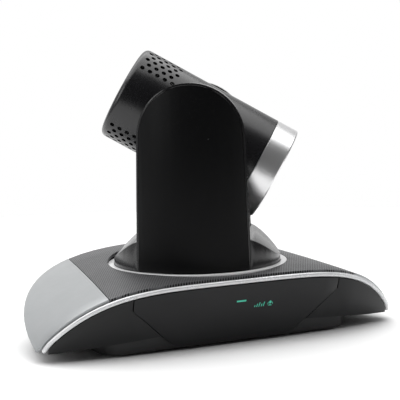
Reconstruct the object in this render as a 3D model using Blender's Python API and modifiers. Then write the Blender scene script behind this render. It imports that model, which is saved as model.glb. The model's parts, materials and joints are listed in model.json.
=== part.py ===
"""A pan-tilt-zoom conference camera with a wide winged base, a turntable yoke and a tilting barrel head.

The origin is on the pan axis, on the table. At pan 0 the lens looks along -Y and the yoke's arms
stand at +X and -X. The camera is held here with the head panned and tilted to its resting pose.
"""

import math

import bmesh
import bpy
from mathutils import Matrix, Vector

MM = 0.001
GAP = 0.3 * MM
CURVE_STEPS = 12

# Pose at rest.
PAN_REST = math.radians(62.5)
TILT_REST = math.radians(30)

# Base outline, seen from above and from the front.
FRONT_HALF_WIDTH = 133 * MM
FRONT_Y = -72 * MM
FRONT_SWEEP_MIDDLE = -2.5 * MM
FRONT_SWEEP_TIP = 29 * MM
FRONT_ARCH_POWER = 4.5
TIP_Z = 6.5 * MM
TIP_START = 0.93
TIP_PULL = 2 * MM
FRONT_ARCH_HEIGHT = 37.2 * MM
REAR_HALF_WIDTH = FRONT_HALF_WIDTH + 1 * MM
REAR_Y = 73.56 * MM
REAR_TIP_Y = -41 * MM
REAR_PLAN_POWER = 3.7
REAR_ARCH_HEIGHT = 47.5 * MM
REAR_ARCH_POWER = 2.25
CROWN = 1.4 * MM
FRONT_SEAM_X = 91.5 * MM
REAR_SEAM_X = 75 * MM

# Base shells.
COVER_THICKNESS = 2 * MM
SEAM_GAP = 0.4 * MM
TRIM_RADIUS = 1.6 * MM
HULL_WALL = 2.8 * MM
HULL_SKIN = 2.2 * MM
HULL_TIP_DROP = 1.4 * MM
HULL_EDGE_Z = 16.5 * MM
HULL_EDGE_FALL = 0.08
HULL_END = 0.972
HULL_CAVITY_END = 0.86
FRONT_RAKE = 0.36
REAR_RAKE = 0.12
PANEL_TOP_HALF = 76.5 * MM
PANEL_BOTTOM_HALF = 44 * MM
PANEL_SHOULDER_Z = 34 * MM
PANEL_BOTTOM_Z = 2.4 * MM
PANEL_CORNER = 4 * MM
PANEL_THICKNESS = 1.8 * MM
PANEL_GAP = 0.8 * MM

# Tray, feet and screws under the base.
TRAY_HALF_WIDTH = 93 * MM
TRAY_HALF_DEPTH = 55 * MM
TRAY_CORNER = 14 * MM
TRAY_WALL = 2 * MM
TRAY_BOTTOM_Z = 1.6 * MM
TRAY_TOP_Z = 18.4 * MM
FOOT_RADIUS = 7 * MM
FOOT_X = 78 * MM
FOOT_Y = 42 * MM
FOOT_SINK = 0.8 * MM
SCREW_X = 58 * MM
SCREW_Y = 47 * MM
SCREW_HEAD_RADIUS = 2.8 * MM
SCREW_SHANK_RADIUS = 1.5 * MM
SCREW_LENGTH = 9 * MM
INSERT_RADIUS = 7 * MM
INSERT_BORE = 3.1 * MM
INSERT_HEIGHT = 9 * MM

# Rear panel and its sockets.
REAR_PANEL_HALF = 66 * MM
REAR_PANEL_Y = 62 * MM
REAR_PANEL_THICKNESS = 1.5 * MM
REAR_PANEL_BOTTOM_Z = 18.6 * MM
REAR_PANEL_TOP_Z = 40 * MM
BOARD_HALF = 59 * MM
BOARD_FRONT_Y = 12 * MM
BOARD_Z = 19 * MM
BOARD_THICKNESS = 1.6 * MM
SOCKET_PROUD = 0.6 * MM
SOCKET_WALL = 1 * MM

# Chassis, pan drive and turntable ring.
CHASSIS_HALF = 82 * MM
CHASSIS_LEG_X = 66 * MM
CHASSIS_HALF_DEPTH = 34 * MM
CHASSIS_Z = 36 * MM
SHEET = 2 * MM
RING_TOP_Z = 49.9 * MM
RING_SKIRT_Z = 42.5 * MM
PAN_SHAFT_RADIUS = 8 * MM
PAN_SHAFT_BORE = 6 * MM
BEARING_HEIGHT = 7 * MM
PAN_BEARING_RADIUS = 14 * MM
BELT_WIDTH = 3.4 * MM
BELT_THICKNESS = 1.2 * MM
PAN_PULLEY_RADIUS = 30 * MM
MOTOR_PULLEY_RADIUS = 5 * MM
PAN_MOTOR_X = -46 * MM
PAN_MOTOR_Y = -14 * MM
PAN_MOTOR_RADIUS = 16 * MM
PAN_MOTOR_HEIGHT = 20 * MM
MOTOR_SHAFT_RADIUS = 1.5 * MM

# Yoke.
HEAD_RADIUS = 34.25 * MM
HEAD_CLEARANCE = 1.75 * MM
HEAD_RISE = 2.7 * MM
HEAD_FRONT = 64.5 * MM
CHANNEL_HALF = HEAD_RADIUS + HEAD_CLEARANCE
ARM_DEPTH = 23.8 * MM
YOKE_RADIUS = CHANNEL_HALF + ARM_DEPTH
RING_GAP = 0.9 * MM
RING_WIDTH = 3.7 * MM
RING_RADIUS = YOKE_RADIUS + RING_GAP + RING_WIDTH
YOKE_BOTTOM_Z = 44.5 * MM
YOKE_FLOOR = 2.5 * MM
PIVOT_Z = 141 * MM
ARM_TOP_RADIUS = HEAD_RADIUS + 2.65 * MM
ARM_TAPER = math.radians(1.63)
SWEEP_TOP_Z = 70.3 * MM
SWEEP_END_Z = 53.8 * MM
SWEEP_POWER = 1.35
VALLEY_RADIUS = math.hypot(HEAD_FRONT, HEAD_RADIUS + HEAD_RISE) + 1.2 * MM
VALLEY_RIM_Z = SWEEP_TOP_Z - 0.2 * MM
DRUM_WALL = 6 * MM
DRUM_TOP_Z = 49.8 * MM
ARM_HOLLOW_Z = 54 * MM
ARM_INNER_WALL = 4 * MM
ARM_RIM = 4 * MM
ARM_COVER_RADIUS = YOKE_RADIUS + 0.5 * MM
ARM_COVER_THICKNESS = 2 * MM
ARM_COVER_INSET = 1.8 * MM
ARM_COVER_BOTTOM_Z = 50.6 * MM
TILT_BEARING_RADIUS = 9 * MM
TILT_SHAFT_RADIUS = 4.5 * MM
TILT_PULLEY_RADIUS = 13 * MM
TILT_BELT_X = CHANNEL_HALF + 13.8 * MM
TILT_MOTOR_Z = 90 * MM
TILT_MOTOR_RADIUS = 15 * MM
TILT_MOTOR_HEIGHT = 8.6 * MM

# Head.
HEAD_REAR = -58.7 * MM
HEAD_WALL = 2 * MM
HEAD_REAR_FILLET = 4 * MM
FRONT_RING_LENGTH = 16 * MM
FRONT_RING_WALL = 2.6 * MM
VENT_RADIUS = 1.65 * MM
VENT_PITCH = 5.85 * MM
VENT_ROW_ANGLE = math.radians(8.2)
VENT_ROWS = 13
VENT_HOLES_PER_ROW = 5
VENT_FIRST = 6.5 * MM
BEZEL_DEPTH = 3.5 * MM
BEZEL_HOLE = 20 * MM
BEZEL_FLANGE = 1.6 * MM
BARREL_RADIUS = 17.5 * MM
BARREL_WALL = 1.6 * MM
BARREL_REAR = 22 * MM
LENS_RADIUS = 15.5 * MM
LENS_THICKNESS = 6.5 * MM
BLOCK_HALF = 21 * MM
BLOCK_REAR = -32 * MM
BLOCK_BORE = 15.2 * MM
GROUP_RADIUS = 14.4 * MM
GROUP_LENGTH = 5 * MM
ZOOM_REST = 8 * MM
FOCUS_REST = -16 * MM
ROD_RADIUS = 1 * MM
ROD_OFFSET = 12 * MM
SENSOR_BOARD_HALF = 18 * MM


def start_scene():
    for old in list(bpy.data.objects):
        bpy.data.objects.remove(old, do_unlink=True)
    for name in ("ptz_camera", "cutters"):
        bpy.context.scene.collection.children.link(bpy.data.collections.new(name))
    bpy.data.collections["cutters"].hide_render = True


def finish_material(name, colour, roughness, metallic=0.0):
    material = bpy.data.materials.get(name)
    if material is None:
        material = bpy.data.materials.new(name)
        material.use_nodes = True
        shader = material.node_tree.nodes["Principled BSDF"]
        shader.inputs["Base Color"].default_value = (*colour, 1)
        shader.inputs["Roughness"].default_value = roughness
        shader.inputs["Metallic"].default_value = metallic
    return material


def matte_black():
    return finish_material("matte_black_plastic", (0.010, 0.010, 0.011), 0.5)


def satin_black():
    return finish_material("satin_black_paint", (0.013, 0.013, 0.015), 0.35)


def dark_grey():
    return finish_material("dark_grey_plastic", (0.035, 0.037, 0.038), 0.45)


def silver_paint():
    return finish_material("silver_paint", (0.62, 0.63, 0.65), 0.35, 0.4)


def bright_silver():
    return finish_material("bright_silver_trim", (0.80, 0.81, 0.82), 0.25, 0.6)


def gloss_black():
    return finish_material("gloss_black_window", (0.015, 0.015, 0.017), 0.12)


def rubber():
    return finish_material("black_rubber", (0.02, 0.02, 0.02), 0.8)


def steel():
    return finish_material("steel", (0.55, 0.56, 0.58), 0.3, 1.0)


def brass():
    return finish_material("brass", (0.68, 0.50, 0.22), 0.3, 1.0)


def circuit_board():
    return finish_material("circuit_board", (0.02, 0.12, 0.05), 0.5)


def lens_glass():
    return finish_material("coated_lens_glass", (0.03, 0.02, 0.06), 0.04)


def turntable_white():
    return finish_material("white_turntable_plastic", (0.78, 0.79, 0.80), 0.35)


def place(obj, material, parent=None, location=(0, 0, 0), rotation=(0, 0, 0)):
    """Puts a visible piece in the camera's collection, in its parent's axes."""
    bpy.data.collections["ptz_camera"].objects.link(obj)
    obj.data.materials.clear()
    obj.data.materials.append(material)
    obj.parent = parent
    obj.location = location
    obj.rotation_euler = rotation
    return obj


def place_cutter(obj, parent=None, location=(0, 0, 0), rotation=(0, 0, 0)):
    bpy.data.collections["cutters"].objects.link(obj)
    obj.hide_render = True
    obj.display_type = "WIRE"
    obj.parent = parent
    obj.location = location
    obj.rotation_euler = rotation
    return obj


def cut(target, cutter, operation="DIFFERENCE"):
    boolean = target.modifiers.new(cutter.name, "BOOLEAN")
    boolean.operation = operation
    boolean.object = cutter
    boolean.solver = "EXACT"


def mesh_object(name, bm):
    bmesh.ops.recalc_face_normals(bm, faces=bm.faces)
    mesh = bpy.data.meshes.new(name)
    bm.to_mesh(mesh)
    bm.free()
    return bpy.data.objects.new(name, mesh)


def box(name, low, high):
    """A box between two corners, in the frame of the object."""
    bm = bmesh.new()
    bmesh.ops.create_cube(bm, size=1)
    size = Vector(high) - Vector(low)
    bmesh.ops.scale(bm, vec=size, verts=bm.verts)
    bmesh.ops.translate(bm, vec=(Vector(high) + Vector(low)) / 2, verts=bm.verts)
    return mesh_object(name, bm)


def cylinder(name, radius, low, high, sides=32):
    """A solid cylinder about the object's Z axis."""
    bm = bmesh.new()
    bmesh.ops.create_cone(
        bm, cap_ends=True, segments=sides, radius1=radius, radius2=radius, depth=high - low
    )
    bmesh.ops.translate(bm, vec=(0, 0, (high + low) / 2), verts=bm.verts)
    return mesh_object(name, bm)


def turned(name, profile, sides=48):
    """Turns a profile of (radius, height) about Z. A profile that doesn't end on the axis is closed."""
    mesh = bpy.data.meshes.new(name)
    points = [(radius, 0, height) for radius, height in profile]
    edges = [(i, i + 1) for i in range(len(points) - 1)]
    if profile[0][0] > 0:
        edges.append((len(points) - 1, 0))
    mesh.from_pydata(points, edges, [])
    obj = bpy.data.objects.new(name, mesh)
    screw = obj.modifiers.new("turn", "SCREW")
    screw.steps = sides
    screw.render_steps = sides
    screw.use_merge_vertices = True
    screw.merge_threshold = 0.00005
    screw.use_smooth_shade = True
    return obj


def ring_profile(outer, inner, low, high):
    return [(outer, high), (outer, low), (inner, low), (inner, high)]


def to_mesh(obj):
    """Turns a curve or a modified object that isn't linked yet into a plain welded mesh."""
    bpy.context.scene.collection.objects.link(obj)
    graph = bpy.context.evaluated_depsgraph_get()
    mesh = bpy.data.meshes.new_from_object(obj.evaluated_get(graph))
    name = obj.name
    bpy.data.objects.remove(obj, do_unlink=True)
    mesh.name = name
    bm = bmesh.new()
    bm.from_mesh(mesh)
    bmesh.ops.remove_doubles(bm, verts=bm.verts, dist=0.00001)
    bm.to_mesh(mesh)
    bm.free()
    return bpy.data.objects.new(name, mesh)


def slab(name, outlines, half_depth):
    """A flat outline, with holes if more than one is given, drawn in XY and thickened along Z."""
    curve = bpy.data.curves.new(name, "CURVE")
    curve.dimensions = "2D"
    curve.fill_mode = "BOTH"
    curve.extrude = half_depth
    for outline in outlines:
        spline = curve.splines.new("POLY")
        spline.points.add(len(outline) - 1)
        for point, (x, y) in zip(spline.points, outline):
            point.co = (x, y, 0, 1)
        spline.use_cyclic_u = True
    return to_mesh(bpy.data.objects.new(name, curve))


def stand_up(obj):
    """Turns a shape drawn in XY up into XZ."""
    obj.data.transform(Matrix.Rotation(math.radians(90), 4, "X"))
    return obj


def arc(centre, radius, start, end, steps=CURVE_STEPS):
    """Points on an arc, in degrees, both ends included."""
    points = []
    for i in range(steps + 1):
        angle = math.radians(start + (end - start) * i / steps)
        points.append((centre[0] + radius * math.cos(angle), centre[1] + radius * math.sin(angle)))
    return points


def rounded_rectangle(half_x, half_y, corner, steps=4):
    points = []
    for turn, (sx, sy) in enumerate(((1, 1), (-1, 1), (-1, -1), (1, -1))):
        centre = (sx * (half_x - corner), sy * (half_y - corner))
        points += arc(centre, corner, 90 * turn, 90 * turn + 90, steps)
    return points


def grid_sheet(name, rows):
    """An open sheet through a grid of points."""
    bm = bmesh.new()
    verts = [[bm.verts.new(point) for point in row] for row in rows]
    for upper, lower in zip(verts, verts[1:]):
        for i in range(len(upper) - 1):
            bm.faces.new((upper[i], upper[i + 1], lower[i + 1], lower[i]))
    mesh = bpy.data.meshes.new(name)
    bm.to_mesh(mesh)
    bm.free()
    return bpy.data.objects.new(name, mesh)


def loft(name, sections):
    """A closed solid through closed sections with the same number of points."""
    bm = bmesh.new()
    loops = [[bm.verts.new(point) for point in section] for section in sections]
    for first, second in zip(loops, loops[1:]):
        for i in range(len(first)):
            j = (i + 1) % len(first)
            bm.faces.new((first[i], first[j], second[j], second[i]))
    bm.faces.new(loops[0])
    bm.faces.new(reversed(loops[-1]))
    bmesh.ops.triangulate(bm, faces=bm.faces)
    return mesh_object(name, bm)


def shade_round(obj, angle=30):
    obj.data.shade_smooth()
    obj.data.set_sharp_from_angle(angle=math.radians(angle))


# ---------------------------------------------------------------- base surface


def closing_in(w):
    """How far the front edge closes in towards a wing's tip, which rounds the tip."""
    return math.copysign(TIP_PULL * max(0.0, (abs(w) - TIP_START) / (1 - TIP_START)) ** 3, w)


def front_edge(w):
    """The base's front top edge, where w is -1 at one wing tip and 1 at the other."""
    return Vector(
        (
            FRONT_HALF_WIDTH * w - closing_in(w),
            FRONT_Y + FRONT_SWEEP_MIDDLE * w**2 + FRONT_SWEEP_TIP * w**4,
            TIP_Z + FRONT_ARCH_HEIGHT * (1 - abs(w) ** FRONT_ARCH_POWER),
        )
    )


def rear_edge(w):
    return Vector(
        (
            REAR_HALF_WIDTH * w,
            REAR_TIP_Y + (REAR_Y - REAR_TIP_Y) * math.sqrt(1 - abs(w) ** REAR_PLAN_POWER),
            TIP_Z + REAR_ARCH_HEIGHT * math.sqrt(1 - abs(w) ** REAR_ARCH_POWER),
        )
    )


def cover_front_edge(w):
    """Where the covers start, behind the trim."""
    return front_edge(w) + Vector((0, TRIM_RADIUS + GAP * 2, 2 * TRIM_RADIUS - GAP * 2))


def top_point(wf, wr, v):
    """A point of the top surface between the front edge, v = 0, and the rear edge, v = 1."""
    point = cover_front_edge(wf).lerp(rear_edge(wr), v)
    return point + Vector((0, 0, 4 * CROWN * v * (1 - v) * (1 - wf**4)))


def inset_top_point(wf, wr, v, depth):
    """A point at this depth under the top surface, square to it."""
    step = 0.01
    side = 1 if wf <= 0 else -1
    across = (top_point(wf + side * step, wr + side * step, v) - top_point(wf, wr, v)) * side
    back = v - step if v > 0.5 else v + step
    along = (top_point(wf, wr, back) - top_point(wf, wr, v)) * (-1 if v > 0.5 else 1)
    normal = across.cross(along).normalized()
    return top_point(wf, wr, v) - normal * depth


def seam_pair():
    return FRONT_SEAM_X / FRONT_HALF_WIDTH, REAR_SEAM_X / REAR_HALF_WIDTH


def wing_column(s, end=1.0):
    """The edge parameters of a wing's column, s from 0 at the seam to 1 at the tip."""
    seam_front, seam_rear = seam_pair()
    wf = math.sin(math.asin(seam_front) + (math.asin(end) - math.asin(seam_front)) * s)
    wr = math.sin(math.asin(seam_rear) + (math.asin(end) - math.asin(seam_rear)) * s)
    return wf, wr


def hull_edge_z(x):
    return HULL_EDGE_Z - HULL_EDGE_FALL * abs(x)


def front_face_y(x, z, inset=0.0):
    """The raked front face of the base at this x and height."""
    edge = front_edge(min(abs(x) / FRONT_HALF_WIDTH, 1))
    return edge.y + FRONT_RAKE * (edge.z - z) + inset


# ---------------------------------------------------------------- base pieces


def wing_cover(name, side):
    """Silver shell over one wing, from the seam to the tip."""
    columns = 16
    rows = 7
    grid = []
    for i in range(columns + 1):
        wf, wr = wing_column(i / columns)
        shift = SEAM_GAP / 2 * (1 - i / columns)
        row = []
        for j in range(rows + 1):
            point = top_point(wf, wr, j / rows)
            row.append((side * (point.x + shift), point.y, point.z))
        grid.append(row)
    if side < 0:
        grid.reverse()
    sheet = grid_sheet(name, grid)
    shell = sheet.modifiers.new("thickness", "SOLIDIFY")
    shell.thickness = COVER_THICKNESS
    shell.offset = -1
    shade_round(sheet)
    return place(sheet, silver_paint())


def mesh_cover():
    """Perforated dark cover between the wings, with the turntable's opening."""
    columns = 14
    rows = 6
    seam_front, seam_rear = seam_pair()
    grid = []
    for i in range(columns + 1):
        s = -1 + 2 * i / columns
        row = []
        for j in range(rows + 1):
            point = top_point(seam_front * s, seam_rear * s, j / rows)
            row.append((point.x - SEAM_GAP / 2 * s, point.y, point.z))
        grid.append(row)
    sheet = grid_sheet("mesh_cover", grid)
    shell = sheet.modifiers.new("thickness", "SOLIDIFY")
    shell.thickness = COVER_THICKNESS
    shell.offset = -1
    opening = cylinder("mesh_cover_opening", RING_RADIUS + GAP, 0, 100 * MM, 64)
    cut(sheet, place_cutter(opening))
    return place(sheet, dark_grey())


def front_trim():
    """Bright bead along the front top edge from tip to tip."""
    curve = bpy.data.curves.new("front_trim", "CURVE")
    curve.dimensions = "3D"
    curve.bevel_depth = TRIM_RADIUS
    curve.bevel_resolution = 2
    curve.use_fill_caps = True
    count = 48
    spline = curve.splines.new("POLY")
    spline.points.add(count)
    for i, point in enumerate(spline.points):
        w = math.sin(math.pi / 2 * (-1 + 2 * i / count))
        edge = front_edge(w)
        point.co = (edge.x, edge.y, edge.z + TRIM_RADIUS, 1)
    return place(bpy.data.objects.new("front_trim", curve), bright_silver())


def hull_columns():
    seam_front, seam_rear = seam_pair()
    wings = [wing_column(i / 7, HULL_END) for i in range(8)]
    middle = [(seam_front * i / 5, seam_rear * i / 5) for i in range(5)]
    right = middle + wings
    return [(-wf, -wr) for wf, wr in reversed(right[1:])] + right


def hull():
    """Dark lower body: raked front, floating wing undersides and rear wall, open above and below."""
    depth = COVER_THICKNESS + GAP
    sections = []
    cavity = []
    for wf, wr in hull_columns():
        front = front_edge(wf)
        rear = rear_edge(wr)
        front_low_z = hull_edge_z(front.x)
        rear_low_z = hull_edge_z(rear.x)
        drop = HULL_TIP_DROP * wf**6
        top = [inset_top_point(wf, wr, v, depth + drop / 2) for v in (0, 0.25, 0.5, 0.75, 1)]
        section = [front + Vector((0, GAP, -GAP - drop))] + top
        rear_low_y = rear.y - REAR_RAKE * (rear.z - rear_low_z)
        section.append(Vector((rear.x * 0.985, rear_low_y, rear_low_z)))
        section.append(Vector((front.x, front_face_y(front.x, front_low_z), front_low_z)))
        sections.append(section)
        if abs(wf) > HULL_CAVITY_END:
            continue
        high = front.z + 40 * MM
        floor_front = front_low_z + HULL_SKIN
        floor_rear = rear_low_z + HULL_SKIN
        wall = HULL_WALL * math.sqrt(1 + FRONT_RAKE**2)
        cavity.append(
            [
                Vector((front.x, front_face_y(front.x, high, wall), high)),
                Vector((rear.x, rear.y + REAR_RAKE * (high - rear.z) - wall, high)),
                Vector((rear.x, rear.y - REAR_RAKE * (rear.z - floor_rear) - wall, floor_rear)),
                Vector((front.x, front_face_y(front.x, floor_front, wall), floor_front)),
            ]
        )
    body = loft("hull", sections)
    cut(body, place_cutter(loft("hull_cavity", cavity)))
    tray_hole = slab(
        "hull_tray_opening",
        [rounded_rectangle(TRAY_HALF_WIDTH + GAP, TRAY_HALF_DEPTH + GAP, TRAY_CORNER + GAP)],
        25 * MM,
    )
    cut(body, place_cutter(tray_hole))
    window = box(
        "hull_rear_window",
        (-REAR_PANEL_HALF - GAP, REAR_PANEL_Y - 8 * MM, REAR_PANEL_BOTTOM_Z - GAP),
        (REAR_PANEL_HALF + GAP, REAR_Y + 10 * MM, REAR_PANEL_TOP_Z + GAP),
    )
    cut(body, place_cutter(window))
    pocket = panel_shell("hull_panel_pocket", PANEL_GAP, 1 * MM, PANEL_THICKNESS + 1 * MM + PANEL_GAP)
    cut(body, place_cutter(pocket))
    return place(body, dark_grey())


def panel_half_width(z):
    """Half width of the front panel: upright shoulders, 45 degree sides and rounded lower corners."""
    slope_end = PANEL_BOTTOM_Z + PANEL_CORNER
    if z >= PANEL_SHOULDER_Z:
        return PANEL_TOP_HALF
    fraction = (z - PANEL_BOTTOM_Z) / (PANEL_SHOULDER_Z - PANEL_BOTTOM_Z)
    width = PANEL_BOTTOM_HALF + (PANEL_TOP_HALF - PANEL_BOTTOM_HALF) * fraction
    if z < slope_end:
        drop = 1 - (z - PANEL_BOTTOM_Z) / PANEL_CORNER
        width -= PANEL_CORNER * (1 - math.sqrt(max(0.0, 1 - drop**2)))
    return width


def panel_shell(name, margin, proud, thickness):
    """The front panel's curved plate, larger by margin all round and standing proud of the face."""
    heights = [0, 0.03, 0.08, 0.14, 0.3, 0.5, 0.7, 0.78, 0.9, 1]
    columns = 14
    grid = []
    for fraction in heights:
        row = []
        for i in range(columns + 1):
            side = -1 + 2 * i / columns
            level = PANEL_BOTTOM_Z + fraction * (TIP_Z + FRONT_ARCH_HEIGHT - PANEL_BOTTOM_Z)
            x = side * (panel_half_width(level) + margin)
            top = front_edge(abs(x) / FRONT_HALF_WIDTH).z - 2 * GAP + margin
            bottom = PANEL_BOTTOM_Z - margin
            z = bottom + fraction * (top - bottom)
            row.append((x, front_face_y(x, z) - proud, z))
        grid.append(row)
    sheet = grid_sheet(name, grid)
    shell = sheet.modifiers.new("thickness", "SOLIDIFY")
    shell.thickness = thickness
    shell.offset = -1
    return sheet


def front_panel():
    """Glossy infrared-clear window set in the raked front face."""
    panel = panel_shell("front_panel", 0.0, 0.0, PANEL_THICKNESS)
    shade_round(panel)
    return place(panel, gloss_black())


def tray():
    """Moulded bottom tray with a drawn-in foot print and bosses for the board."""
    outline = rounded_rectangle(TRAY_HALF_WIDTH, TRAY_HALF_DEPTH, TRAY_CORNER)
    half = (TRAY_TOP_Z - TRAY_BOTTOM_Z) / 2
    body = slab("base_tray", [outline], half)
    middle = TRAY_BOTTOM_Z + half
    inner = slab(
        "tray_hollow",
        [rounded_rectangle(TRAY_HALF_WIDTH - TRAY_WALL, TRAY_HALF_DEPTH - TRAY_WALL, TRAY_CORNER - TRAY_WALL)],
        half,
    )
    cut(body, place_cutter(inner, location=(0, 0, middle + TRAY_WALL)))
    place(body, matte_black(), location=(0, 0, middle))
    floor = TRAY_BOTTOM_Z + TRAY_WALL / 2
    for i, (x, y) in enumerate(corners(BOARD_HALF - 6 * MM, 1)):
        y = BOARD_FRONT_Y + 6 * MM if y < 0 else TRAY_HALF_DEPTH - 8 * MM
        boss = cylinder(f"tray_boss_{i + 1}", 3 * MM, floor, BOARD_Z - GAP, 12)
        cut(body, place_cutter(boss, location=(x, y, 0)), "UNION")
    for i, (x, y) in enumerate(corners(FOOT_X, FOOT_Y)):
        seat = cylinder(f"foot_seat_{i + 1}", FOOT_RADIUS + GAP, 0, TRAY_BOTTOM_Z + FOOT_SINK, 20)
        cut(body, place_cutter(seat, location=(x, y, 0)))
    for i, (x, y) in enumerate(corners(SCREW_X, SCREW_Y)):
        hole = cylinder(f"screw_hole_{i + 1}", SCREW_HEAD_RADIUS + GAP, 0, TRAY_BOTTOM_Z + 3 * MM, 12)
        cut(body, place_cutter(hole, location=(x, y, 0)))
    seat = cylinder("insert_seat", INSERT_RADIUS + GAP, 0, TRAY_BOTTOM_Z + 3 * MM)
    cut(body, place_cutter(seat))
    return body


def corners(x, y):
    return [(sx * x, sy * y) for sx in (-1, 1) for sy in (-1, 1)]


def feet():
    for i, (x, y) in enumerate(corners(FOOT_X, FOOT_Y)):
        top = TRAY_BOTTOM_Z + FOOT_SINK - GAP
        chamfer = 0.5 * MM
        profile = [(0, top), (FOOT_RADIUS, top), (FOOT_RADIUS, chamfer), (FOOT_RADIUS - chamfer, 0), (0, 0)]
        place(turned(f"rubber_foot_{i + 1}", profile, 20), rubber(), location=(x, y, 0))


def tray_screws():
    """Pan-head screws that hold the tray, each sunk in its hole."""
    head = 1.6 * MM
    for i, (x, y) in enumerate(corners(SCREW_X, SCREW_Y)):
        z = TRAY_BOTTOM_Z + 0.3 * MM
        profile = [
            (0, z + SCREW_LENGTH),
            (SCREW_SHANK_RADIUS, z + SCREW_LENGTH),
            (SCREW_SHANK_RADIUS, z + head),
            (SCREW_HEAD_RADIUS, z + head),
            (SCREW_HEAD_RADIUS, z),
            (0, z),
        ]
        screw = turned(f"tray_screw_{i + 1}", profile, 12)
        place(screw, steel(), location=(x, y, 0))


def tripod_insert():
    """Brass insert for a quarter-inch camera screw."""
    bottom = TRAY_BOTTOM_Z
    profile = ring_profile(INSERT_RADIUS, INSERT_BORE, bottom, bottom + INSERT_HEIGHT)
    return place(turned("tripod_insert", profile, 24), brass())


def socket_list():
    """Name, middle x, outer half width, outer height, opening half width, opening height."""
    return (
        ("power_jack", -52 * MM, 5 * MM, 11 * MM, 3.2 * MM, 6.4 * MM),
        ("serial_socket", -35 * MM, 7 * MM, 13 * MM, 4.5 * MM, 9 * MM),
        ("lan_socket", -13 * MM, 8 * MM, 13.4 * MM, 6 * MM, 8.2 * MM),
        ("usb_socket", 12 * MM, 7 * MM, 7.4 * MM, 6 * MM, 5.2 * MM),
        ("hdmi_socket", 38 * MM, 8.4 * MM, 7.4 * MM, 7.2 * MM, 5.2 * MM),
    )


def rear_panel():
    """Connector plate in the rear wall, with one opening for each socket."""
    plate = box(
        "rear_panel",
        (-REAR_PANEL_HALF, REAR_PANEL_Y, REAR_PANEL_BOTTOM_Z),
        (REAR_PANEL_HALF, REAR_PANEL_Y + REAR_PANEL_THICKNESS, REAR_PANEL_TOP_Z),
    )
    base = BOARD_Z + BOARD_THICKNESS + GAP
    for name, x, half, height, _, _ in socket_list():
        opening = box(
            name + "_opening",
            (x - half - GAP, REAR_PANEL_Y - 5 * MM, base - GAP),
            (x + half + GAP, REAR_PANEL_Y + 5 * MM, base + height + GAP),
        )
        cut(plate, place_cutter(opening))
    return place(plate, matte_black())


def sockets():
    """Metal-shelled sockets on the board that reach through the rear panel."""
    base = BOARD_Z + BOARD_THICKNESS + GAP
    back = REAR_PANEL_Y + REAR_PANEL_THICKNESS + SOCKET_PROUD
    depth = 14 * MM
    for name, x, half, height, hollow_half, hollow_height in socket_list():
        body = box(name, (x - half, back - depth, base), (x + half, back, base + height))
        middle = base + height / 2
        hollow_depth = depth - 3 * MM
        if name in ("power_jack", "serial_socket"):
            hollow = cylinder(name + "_hollow", hollow_height / 2, 0, hollow_depth + 2 * MM, 16)
            turn = (math.radians(-90), 0, 0)
            place_cutter(hollow, location=(x, back - hollow_depth, middle), rotation=turn)
        else:
            low = middle - hollow_height / 2
            hollow = box(
                name + "_hollow",
                (x - hollow_half, back - hollow_depth, low),
                (x + hollow_half, back + 2 * MM, low + hollow_height),
            )
            place_cutter(hollow)
        cut(body, hollow)
        place(body, steel())


def boards():
    board = box(
        "main_board",
        (-BOARD_HALF, BOARD_FRONT_Y, BOARD_Z),
        (BOARD_HALF, REAR_PANEL_Y - GAP, BOARD_Z + BOARD_THICKNESS),
    )
    place(board, circuit_board())
    y = FRONT_Y + 20 * MM
    indicator = box("indicator_board", (-24 * MM, y, 21 * MM), (24 * MM, y + 1.2 * MM, 34 * MM))
    place(indicator, circuit_board())
    front = y - GAP
    receiver = box("ir_receiver", (-4 * MM, front - 5 * MM, 24 * MM), (4 * MM, front, 31 * MM))
    place(receiver, matte_black())


def microphones():
    bottom = CHASSIS_Z + SHEET + GAP
    for name, side in (("microphone_left", -1), ("microphone_right", 1)):
        capsule = cylinder(name, 4.8 * MM, bottom, bottom + 4 * MM, 20)
        shade_round(capsule)
        place(capsule, steel(), location=(side * (CHASSIS_HALF - 6 * MM), 0, 0))


def chassis():
    """Folded steel bracket that carries the turntable, standing on the tray."""
    top = CHASSIS_Z + SHEET
    foot = TRAY_BOTTOM_Z + TRAY_WALL + GAP
    depth = CHASSIS_HALF_DEPTH
    bracket = box("chassis", (-CHASSIS_HALF, -depth, CHASSIS_Z), (CHASSIS_HALF, depth, top))
    for side, x in (("left", -CHASSIS_LEG_X), ("right", CHASSIS_LEG_X - SHEET)):
        leg = box(f"chassis_leg_{side}", (x, -depth, foot), (x + SHEET, depth, top - SHEET / 2))
        cut(bracket, place_cutter(leg), "UNION")
    seat = cylinder("chassis_bearing_seat", PAN_BEARING_RADIUS + GAP, CHASSIS_Z - 5 * MM, top + 5 * MM)
    cut(bracket, place_cutter(seat))
    shaft = cylinder("chassis_motor_hole", MOTOR_SHAFT_RADIUS + 2 * MM, CHASSIS_Z - 5 * MM, top + 5 * MM, 16)
    cut(bracket, place_cutter(shaft, location=(PAN_MOTOR_X, PAN_MOTOR_Y, 0)))
    return place(bracket, steel())


def pan_ring():
    """White ring round the turntable, with a skirt inside the mesh cover's opening."""
    inner = YOKE_RADIUS + RING_GAP
    skirt = RING_RADIUS - 2 * MM
    profile = [
        (RING_RADIUS, RING_TOP_Z),
        (RING_RADIUS, RING_SKIRT_Z),
        (skirt, RING_SKIRT_Z),
        (skirt, RING_TOP_Z - 2 * MM),
        (inner, RING_TOP_Z - 2 * MM),
        (inner, RING_TOP_Z),
    ]
    return place(turned("pan_ring", profile, 48), turntable_white())


def belt_outline(radius_a, radius_b, distance, grow):
    """The loop round two pulleys, the first at the origin and the second on +X."""
    lean = math.degrees(math.acos((radius_a - radius_b) / distance))
    outline = arc((0, 0), radius_a + grow, lean, 360 - lean, 24)
    return outline + arc((distance, 0), radius_b + grow, -lean, lean, 12)


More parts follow.
